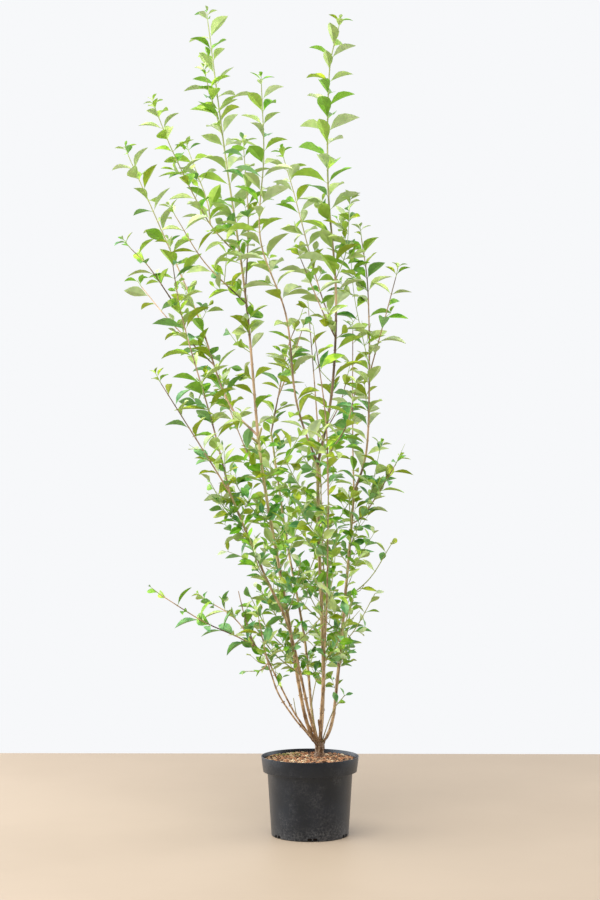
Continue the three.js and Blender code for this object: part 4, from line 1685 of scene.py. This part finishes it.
@dataclass(frozen=True)
class Grade:
    """A value that changes with the height: its values at some heights in mm."""

    heights: tuple[float, ...]
    values: tuple[float, ...]

    def at(self, spot: Vector) -> float:
        """Returns the value at the height of a spot, which is in metres."""
        return float(np.interp(spot.z / MM, self.heights, self.values))


@dataclass(frozen=True)
class Carriage:
    """How leaves stand on one kind of shoot. Angles are in degrees, bends and folds in radians."""

    rise: float
    roll: float
    width: Pair
    bend: Pair
    fold: Pair


@dataclass
class Crown:
    """The shoots, twigs and leaves that grow on from the boughs. Lengths are in mm."""

    boughs: dict[str, Limb]
    spray_stretch: Pair = (0.24, 0.93)
    spray_length: Pair = (190.0, 120.0)
    spray_spread: float = 0.3
    spray_radii: Pair = (1.6, 1.0)
    spray_out: float = 0.64
    spray_up: float = 0.76
    knee_out: float = 0.55
    knee_up: float = 0.4
    golden_turn: float = 137.5
    twig_radii: Pair = (1.15, 0.65)
    spur_radii: Pair = (0.8, 0.5)
    twig_spread: float = 1.15
    twig_lift: float = 0.55
    bare_tip: float = 12.0
    bare_spur_tip: float = 30.0
    twig_turn_spread: float = 24.0
    spur_turn_spread: float = 40.0
    bough_turn_spread: float = 70.0
    # What the share of spurs is multiplied by below and above this part of a shoot.
    spur_limit: float = 0.62
    spur_factors: Pair = (1.6, 0.4)
    tip_length: float = 26.0
    tip_lift: float = 0.15
    tip_radii: Pair = (1.0, 0.5)
    main_leaves: Carriage = Carriage(62.0, 50.0, (0.4, 0.52), (0.3, 0.9), (0.3, 0.8))
    side_leaves: Carriage = Carriage(54.0, 110.0, (0.43, 0.56), (0.08, 0.55), (0.2, 0.7))
    leaf_rise_spread: float = 36.0
    leaf_turn_spread: float = 34.0
    shoot_turn_spread: float = 76.0
    leaf_to_light: float = 0.35
    leaf_size_spread: float = 0.3
    leaf_wave: float = 0.024
    leaf_curl: float = 0.14
    leaf_seat: float = 0.45
    # The pair at a twig's end is smaller, and smaller pairs lean out less, down to this share.
    end_leaf_share: float = 0.76
    end_leaf_rise: float = 0.1
    bare_leaf_tip: float = 14.0
    bare_soft_tip: float = 4.0
    leaf_size: Grade = Grade((420, 650, 900, 1350, 1520, 1620, 1750, 1850),
                             (0.76, 0.9, 1.0, 1.0, 1.05, 1.0, 0.97, 1.0))
    # The leaves' middle tone, from 0 for the darkest to 4, and what moves a leaf from it. Darker
    # low down, partly painted shade.
    tone: Grade = Grade((400, 800, 1200, 1600, 1800), (2.1, 2.3, 2.4, 2.2, 2.2))
    tone_sway: float = 4.2
    tone_by_share: float = 0.7
    tone_by_rank: float = 0.1
    shoot_lean: float = 1.0
    # The shares of the olive, of the cool green and of the fallen leaves.
    olive: Grade = Grade((600, 800, 1000, 1150), (0.03, 0.16, 0.28, 0.09))
    cool: Grade = Grade((520, 700, 1000, 1400), (0.3, 0.16, 0.08, 0.03))
    fallen: Grade = Grade(
        (400, 520, 640, 700, 800, 950, 1060, 1180, 1320, 1430, 1500, 1700, 1860),
        (0.1, 0.55, 0.53, 0.18, 0.2, 0.38, 0.43, 0.56, 0.31, 0.05, 0.0, 0.06, 0.0))
    bough_fall: float = 0.55
    leaf_clearance: float = 1.2
    leaf_probes: Point = (0.45, 0.7, 1.0)
    probe_step: float = 5.0
    low_limit: float = 186.0
    bough_shoot_step: float = 25.0
    bough_shoot_length: Pair = (18.0, 70.0)
    # How many of the places for a small shoot on a bough are taken.
    bough_shoots: Grade = Grade((332, 362, 480, 600, 680, 860, 950),
                                (0.0, 0.75, 0.9, 0.85, 0.9, 0.95, 0.6))
    bare_shoots: tuple[str, ...] = ("mass_low_left_arm/upright",)
    bare_shoot_leafy: Pair = (0.0, 0.4)
    bare_twig: tuple[Point, ...] = ((198, 36, 848), (212, 32, 880), (221, 30, 900))
    bare_twig_radii: Pair = (0.9, 0.45)
    shoot_sides: tuple[int, int] = (8, 6)
    shoot_step: float = 16.0
    shoot_start: float = 0.3
    wood_radius: float = 1.65
    shoot_finishes: tuple[Finish, ...] = (
        BarkFinish("shoot_wood", (96, 72, 60), (220, 180, 140), 26.0, 0.6, 520.0, 0.0003,
                   (1, 1, 0.3), young=(158, 168, 96), young_heights=(1.2, 1.65)),
        BarkFinish("shoot_green", (150, 144, 84), (190, 182, 118), 110.0, 0.5, 520.0, 0.0002,
                   (1, 1, 0.3), young=(160, 178, 96), young_heights=(0.25, 0.9)),
    )
    limbs: list[Grown] = field(default_factory=list)
    leaves: dict[str, list[Leaf]] = field(default_factory=dict)

    def fullness(self, spot: Vector) -> float:
        """Tells how full of leaves the crown is at a spot.

        Args:
            spot: the spot, in metres.

        Returns:
            1 where it is as the rule has it, less where it opens and more where it thickens.
        """
        eye = Vector(Studio.camera_place)
        seen = eye + (spot - eye) * (eye.y / (eye.y - spot.y))
        for patch in PATCHES:
            if math.hypot(seen.x / MM - patch.x, seen.z / MM - patch.z) < patch.reach:
                return patch.fullness
        return 1.0

    def grow_masses(self) -> None:
        """Grows the main shoots of every mass."""
        for mass in MASSES:
            grown: dict[str, Limb] = {}
            for shoot in mass.shoots:
                base = grown.get(shoot.on) or self.boughs[mass.bough]
                share = shoot.at if shoot.on else mass.at
                points = [base.point_at(base.length * share), *map(metres, shoot.points)]
                limb = Limb(f"{mass.node}/{shoot.key}", points, scaled(shoot.radii))
                grown[shoot.key] = limb
                leafy = self.bare_shoot_leafy if limb.name in self.bare_shoots else (0.0, 1.0)
                self.limbs.append(Grown(limb, shoot.habit.value, 0, mass.bough, leafy,
                                        leaf_scale=shoot.leaf_scale))

    def grow_sprays(self) -> None:
        """Grows the sprays that the rule sets round each bough."""
        for bough in BOUGHS:
            for index in range(bough.sprays):
                name = f"spray_{bough.key}_{index + 1}"
                draw = Draws(name)
                order = (index + 0.5) / bough.sprays
                base = self.boughs[bough.key]
                start = base.point_at(base.length * blend(*self.spray_stretch, order))
                length = blend(*self.spray_length, order) * draw.spread(self.spray_spread) * MM
                turn = math.radians(bough.turn + index * self.golden_turn)
                outward = Vector((math.cos(turn), math.sin(turn), 0))
                knee = start + outward * (length * self.spray_out * self.knee_out)
                knee += UP * (length * self.spray_up * self.knee_up)
                tip = start + outward * (length * self.spray_out) + UP * (length * self.spray_up)
                limb = Limb(f"{name}/lead", [start, knee, tip], scaled(self.spray_radii))
                self.limbs.append(Grown(limb, Habits.SPRAY.value, 1, bough.key))

    def marks(self, limb: Limb, first: float, spacing: Pair, bare: float) -> list[float]:
        """Finds the nodes of a shoot, closer together towards its tip.

        Args:
            limb: the shoot.
            first: the distance to its first node, in mm.
            spacing: the distances between nodes at its foot and its tip, in mm.
            bare: the length without nodes at its tip, in mm.

        Returns:
            The distances of the nodes from its foot, in metres.
        """
        found, place = [], first * MM
        while place < limb.length - bare * MM:
            found.append(place)
            place += blend(*spacing, place / limb.length) * MM
        return found

    def side_shoot(self, parent: Grown, name: str, mark: float, turn: float, length: float,
                   habit: Habits) -> Grown:
        """Makes a twig or spur that leaves a limb on one side and bends up.

        Args:
            parent: the limb it grows on.
            name: its own name.
            mark: how far along that limb it starts.
            turn: the turn round the limb, in degrees.
            length: its length in metres.
            habit: how it carries its leaves.

        Returns:
            The twig.
        """
        limb = parent.limb
        start = limb.point_at(mark)
        outward = limb.outward_at(mark, turn)
        ahead = (limb.tangent_at(mark) + outward * self.twig_spread).normalized()
        middle = start + ahead * (length / 2)
        ahead = (ahead + UP * self.twig_lift).normalized()
        radii = self.twig_radii if habit is Habits.TWIG else self.spur_radii
        twig = Limb(name, [start, middle, middle + ahead * (length / 2)], scaled(radii))
        return Grown(twig, habit.value, parent.rank + 1, parent.group)

    def grow_twigs(self) -> None:
        """Grows the frame's own twigs on every shoot, by the seeded rule."""
        for parent in list(self.limbs):
            limb, habit = parent.limb, parent.habit
            marks = self.marks(limb, habit.first, habit.spacing, self.bare_tip)
            for index, mark in enumerate(marks):
                draw = Draws(f"{limb.name}/twig/{index}")
                if draw.share() < habit.twig_share and mark / limb.length < habit.twigs_to:
                    length = blend(*habit.twig, draw.share()) * MM
                    turn = index * 90 + 180 + draw.sway(self.twig_turn_spread)
                    self.limbs.append(self.side_shoot(
                        parent, f"{limb.name}/{index}", mark, turn, length, Habits.TWIG))

    def grow_spurs(self) -> None:
        """Grows finer leafy spurs on the shoots and sprays."""
        spurs = []
        for parent in [grown for grown in self.limbs if grown.habit.spur_share > 0]:
            limb, habit = parent.limb, parent.habit
            marks = self.marks(limb, habit.leaf_first, habit.leaf_spacing, self.bare_spur_tip)
            for index, mark in enumerate(marks):
                name = f"{limb.name}/spur/{index}"
                draw = Draws(name)
                factor = self.spur_factors[mark / limb.length >= self.spur_limit]
                full = self.fullness(limb.point_at(mark))
                if draw.share() < (full - 1 if full > 1 else habit.spur_share * factor):
                    length = draw.between(*habit.spur) * MM
                    turn = index * 90 + (180 if draw.share() < 0.5 else 0)
                    turn += draw.sway(self.spur_turn_spread)
                    spurs.append(self.side_shoot(parent, name, mark, turn, length, Habits.SPUR))
        self.limbs.extend(spurs)

    def grow_bough_shoots(self) -> None:
        """Grows small leafy shoots on the boughs' upper stretches."""
        for key, bough in self.boughs.items():
            base = Grown(bough, Habits.SPRAY.value, 0, key)
            for index in range(int(bough.length / (self.bough_shoot_step * MM))):
                name = f"bough_{key}/shoot/{index}"
                draw = Draws(name)
                mark = (index + draw.share()) * self.bough_shoot_step * MM
                spot = bough.point_at(mark)
                if draw.share() < max(self.bough_shoots.at(spot), self.fullness(spot) - 1):
                    length = draw.between(*self.bough_shoot_length) * MM
                    turn = index * 90 + draw.sway(self.bough_turn_spread)
                    self.limbs.append(self.side_shoot(base, name, mark, turn, length, Habits.SPUR))

    def grow_tips(self) -> None:
        """Grows the soft new tip on every main shoot."""
        for parent in list(self.limbs):
            limb = parent.limb
            if parent.rank > 0 or limb.name in self.bare_shoots:
                continue
            end = limb.points[-1]
            ahead = (limb.tangent_at(limb.length) + UP * self.tip_lift).normalized()
            points = [end, end + ahead * self.tip_length * MM]
            tip = Limb(f"{limb.name}/tip", points, scaled(self.tip_radii))
            self.limbs.append(Grown(tip, Habits.TIP.value, 0, parent.group))

    def grow_sprigs(self) -> None:
        """Grows the thin twigs that have their own place, and the bare twig at the right."""
        for index, sprig in enumerate(SPRIGS):
            bough = self.boughs[sprig.bough]
            points = [bough.point_at(bough.length * sprig.at), *map(metres, sprig.points)]
            limb = Limb(f"sprig_{index}", points, scaled(sprig.radii))
            self.limbs.append(Grown(limb, Habits.SPUR.value, 1, sprig.bough, sprig.leafy,
                                    sprig.tone))
        bare = Limb("bare_twig", map(metres, self.bare_twig), scaled(self.bare_twig_radii))
        self.limbs.append(Grown(bare, Habits.SPUR.value, 1, "right", (2.0, 2.0)))

    def leaf_tone(self, spot: Vector, share: float, rank: int, lean: float,
                  draw: Draws) -> LeafTone:
        """Deals out a leaf's colour: darker low and inside, partly as painted shade, lighter high
        and at the tips.

        Args:
            spot: where the leaf is.
            share: how far along its shoot it is.
            rank: how far its shoot is from a leader.
            lean: the shoot's own lean to light or dark.
            draw: the leaf's stream.

        Returns:
            The tone.
        """
        # The spread of tones partly paints shade and light over the crown.
        score = (self.tone.at(spot) + self.tone_by_share * share - self.tone_by_rank * rank
                 + lean + draw.sway(self.tone_sway))
        place = draw.share()
        if place < self.olive.at(spot):
            return LeafTone.OLIVE
        if place > 1 - self.cool.at(spot):
            return LeafTone.COOL
        return list(LeafTone)[int(limited(score, LeafTone.TIP.order))]

    def make_leaf(self, grown: Grown, mark: float, turn: float, size: float, rise: float,
                  lean: float, draw: Draws) -> Leaf:
        """Makes one leaf on a limb.

        Args:
            grown: the limb.
            mark: how far along it the leaf sits.
            turn: the turn round it, in degrees.
            size: the leaf's length in metres.
            rise: the angle between the limb and the leaf, in degrees.
            lean: the shoot's own lean to light or dark.
            draw: the leaf's stream.

        Returns:
            The leaf.
        """
        limb, carriage = grown.limb, self.carriage(grown)
        tangent, outward = limb.tangent_at(mark), limb.outward_at(mark, turn)
        angle = math.radians(rise)
        ahead = tangent * math.cos(angle) + outward * math.sin(angle)
        face = tangent * math.sin(angle) - outward * math.cos(angle)
        face = (face + UP * self.leaf_to_light).normalized()
        ahead = (ahead - face * ahead.dot(face)).normalized()
        roll = Matrix.Rotation(math.radians(draw.sway(carriage.roll)), 3, ahead)
        bend, fold = draw.between(*carriage.bend), draw.between(*carriage.fold)
        root = limb.point_at(mark) + outward * limb.radius_at(mark) * self.leaf_seat
        tone = self.leaf_tone(root, mark / limb.length, grown.rank, lean, draw)
        return Leaf(root, ahead, roll @ face, size, size * draw.between(*carriage.width), bend,
                    fold, draw.sway(self.leaf_wave), draw.sway(self.leaf_curl), grown.tone or tone)

    def carriage(self, grown: Grown) -> Carriage:
        """Returns how the leaves of a limb stand."""
        return self.main_leaves if grown.rank == 0 else self.side_leaves

    def leaf_nodes(self, grown: Grown) -> list[Pair]:
        """Finds where a limb carries its pairs of leaves.

        Args:
            grown: the limb.

        Returns:
            The distance of each pair from the foot in metres, and its share of the full size.
        """
        limb, habit = grown.limb, grown.habit
        bare = self.bare_soft_tip if habit is Habits.TIP.value else self.bare_leaf_tip
        marks = self.marks(limb, habit.leaf_first, habit.leaf_spacing, bare)
        nodes = [(mark, 1.0) for mark in marks]
        if grown.rank > 0 or habit is Habits.TIP.value:
            nodes.append((limb.length - 1 * MM, self.end_leaf_share))
        low, high = grown.leafy
        return [(mark, part) for mark, part in nodes if low <= mark / limb.length <= high]

    def grow_leaves(self) -> None:
        """Sets the leaves in crossed pairs along every limb."""
        for grown in self.limbs:
            limb, habit = grown.limb, grown.habit
            own = Draws(f"{limb.name}/own")
            lean, offset = own.sway(self.shoot_lean), own.sway(self.shoot_turn_spread)
            for index, (mark, part) in enumerate(self.leaf_nodes(grown)):
                for hand in (0, 1):
                    draw = Draws(f"{limb.name}/leaf/{index}/{hand}")
                    size = float(np.interp(mark / limb.length, (0, 0.5, 1), habit.leaf))
                    size *= draw.spread(self.leaf_size_spread) * part * grown.leaf_scale * MM
                    size *= self.leaf_size.at(limb.point_at(mark))
                    rise = self.carriage(grown).rise + draw.sway(self.leaf_rise_spread)
                    rise *= blend(self.end_leaf_rise, 1, part)
                    turn = index * 90 + hand * 180 + offset + draw.sway(self.leaf_turn_spread)
                    leaf = self.make_leaf(grown, mark, turn, size, rise, lean, draw)
                    fallen = self.fallen.at(leaf.root)
                    if limb.name.startswith("bough_"):
                        fallen *= self.bough_fall
                    full = self.fullness(leaf.middle())
                    kept = 1.0 if full > 1 else (1 - fallen) * full
                    if leaf.tip().z > self.low_limit * MM and draw.share() < kept:
                        self.leaves.setdefault(grown.group, []).append(leaf)

    def clear_leaves(self) -> None:
        """Drops the leaves that would run into a stem."""
        stems = [*self.boughs.values(), *(grown.limb for grown in self.limbs if grown.rank == 0)]
        spots = [spot for limb in stems for spot in limb.spots(self.probe_step * MM)]
        centres = np.array([point for point, _ in spots])
        radii = np.array([radius for _, radius in spots])
        for group, leaves in self.leaves.items():
            kept = []
            for leaf in leaves:
                probes = [leaf.root + leaf.ahead * leaf.length * part for part in self.leaf_probes]
                gaps = [np.min(np.linalg.norm(centres - np.array(probe), axis=1) - radii)
                        for probe in probes]
                if min(gaps) > self.leaf_clearance * MM:
                    kept.append(leaf)
            self.leaves[group] = kept

    def build_shoots(self) -> None:
        """Builds the shoots and twigs as one piece."""
        draft = Draft()
        for grown in self.limbs:
            marks = [mark for mark, _ in self.leaf_nodes(grown)]
            sides = self.shoot_sides[grown.rank > 0]
            look = int(grown.limb.radii[0] <= self.wood_radius * MM)
            tube = Tube(grown.limb, sides, self.shoot_step * MM, marks,
                        start=self.shoot_start * MM)
            tube.add_to(draft, look)
        declare(draft.build("shoots", self.shoot_finishes, 70.0), [])

    def build_leaves(self) -> None:
        """Builds the leaves of each bough as one piece that stands for its masses' nodes."""
        finishes = LeafSides.all()
        faces, sides = Leaf.layout()
        for group, leaves in self.leaves.items():
            draft = Draft()
            for leaf in leaves:
                base = leaf.tone.order * 3
                draft.add(leaf.spots(), faces, [base + side for side in sides])
            nodes = [mass.node for mass in MASSES if mass.bough == group]
            nodes += [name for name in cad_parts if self.is_spray_of(name, group)]
            piece = draft.build(f"leaves_{group}", finishes, 40.0)
            log.info("%d leaves", len(leaves))
            declare(piece, nodes)

    def is_spray_of(self, name: str, group: str) -> bool:
        """Tells whether a node is one of the sprays on a bough."""
        stem, _, number = name.rpartition("_")
        return stem == f"spray_{group}" and number.isdigit()

    def build(self) -> None:
        """Grows the crown on the boughs and builds it."""
        self.grow_masses()
        self.grow_sprays()
        self.grow_twigs()
        self.grow_spurs()
        self.grow_bough_shoots()
        self.grow_tips()
        self.grow_sprigs()
        self.grow_leaves()
        self.clear_leaves()
        self.build_shoots()
        self.build_leaves()


def aimed(name: str, data: bpy.types.ID, place: Point, aim: Point) -> Piece:
    """Puts a lamp or a camera in the scene.

    Args:
        name: the name of its object.
        data: the lamp or the camera.
        place: where it stands.
        aim: where it points.

    Returns:
        The object.
    """
    stand = placed(name, data)
    stand.location = place
    stand.rotation_euler = (Vector(aim) - Vector(place)).to_track_quat("-Z", "Y").to_euler()
    return stand


@dataclass(frozen=True)
class Lamp:
    """A soft square lamp. Lengths are in metres and its power in watts."""

    name: str
    place: Point
    aim: Point
    size: float
    power: float

    def build(self) -> None:
        """Hangs the lamp out of the camera's sight."""
        light = bpy.data.lights.new(self.name, "AREA")
        light.size, light.energy = self.size, self.power
        aimed(self.name, light, self.place, self.aim).visible_camera = False


@dataclass
class Studio:
    """The pale floor, the soft light and the camera. Lengths are in metres."""

    floor_half: float = 1.249
    floor_finish: Finish = Finish("floor_plain", (175, 157, 136), (180, 162, 141), 1.2, 0.55, 60.0,
                                  0.0)
    sky: Tone = (247, 248, 250)
    # The walls glow less in front of the plant than behind it, over a stretch of directions.
    glow: Pair = (0.38, 0.95)
    glow_stretch: Pair = (-0.7, 0.45)
    camera_place: Point = (27.7 * MM, -4047 * MM, 786 * MM)
    camera_aim: Point = (-23 * MM, 0.0, 885 * MM)
    camera_lens: float = 70.0
    lamps: tuple[Lamp, ...] = (
        Lamp("window", (-3.0, -0.6, 1.5), (0, 0, 0.7), 2.8, 76.0),
        Lamp("side", (3.0, 0.9, 1.3), (0, 0.2, 0.4), 2.4, 36.0),
        Lamp("rear", (-2.3, 1.6, 1.1), (0, 0.2, 0.3), 2.0, 32.0),
        Lamp("top", (-0.6, -1.8, 4.0), (0, 0, 1.0), 2.4, 160.0),
    )

    def floor(self) -> None:
        """Lays the floor just under the pot."""
        sheet = bmesh.new()
        bmesh.ops.create_grid(sheet, x_segments=1, y_segments=1, size=self.floor_half)
        finished("floor", meshed("floor", sheet), [self.floor_finish])

    def surroundings(self) -> None:
        """Sets the plain pale walls, which look even to the camera."""
        world = bpy.data.worlds.new("surroundings")
        world.use_nodes = True
        wiring = Wiring(world.node_tree)
        depth = wiring.part(wiring.add("TexCoord", {})["Generated"], "Y")
        glow = wiring.ranged(depth, self.glow_stretch, self.glow)
        seen = wiring.add("LightPath", {})["Is Camera Ray"]
        strength = wiring.add("Mix", {0: seen, 2: glow, 3: 1.0})[0]
        wiring.feed(world.node_tree.nodes["Background"],
                    {"Color": linear(self.sky), "Strength": strength})
        bpy.context.scene.world = world
        bpy.context.scene.view_settings.view_transform = "Standard"

    def camera(self) -> None:
        """Sets up the camera."""
        camera = bpy.data.cameras.new("camera")
        camera.lens = self.camera_lens
        bpy.context.scene.camera = aimed("camera", camera, self.camera_place, self.camera_aim)

    def build(self) -> None:
        """Builds all of it."""
        self.camera()
        self.floor()
        self.surroundings()
        for lamp in self.lamps:
            lamp.build()


def main() -> None:
    """Builds the object and its surroundings in order."""
    logging.basicConfig(level=logging.INFO, format="%(name)s: %(message)s")
    Studio().build()
    pot = Pot()
    pot.build()
    Soil(pot).build()
    stems = Stems()
    stems.build()
    Crown(stems.limbs).build()


if __name__ == "__main__":
    main()
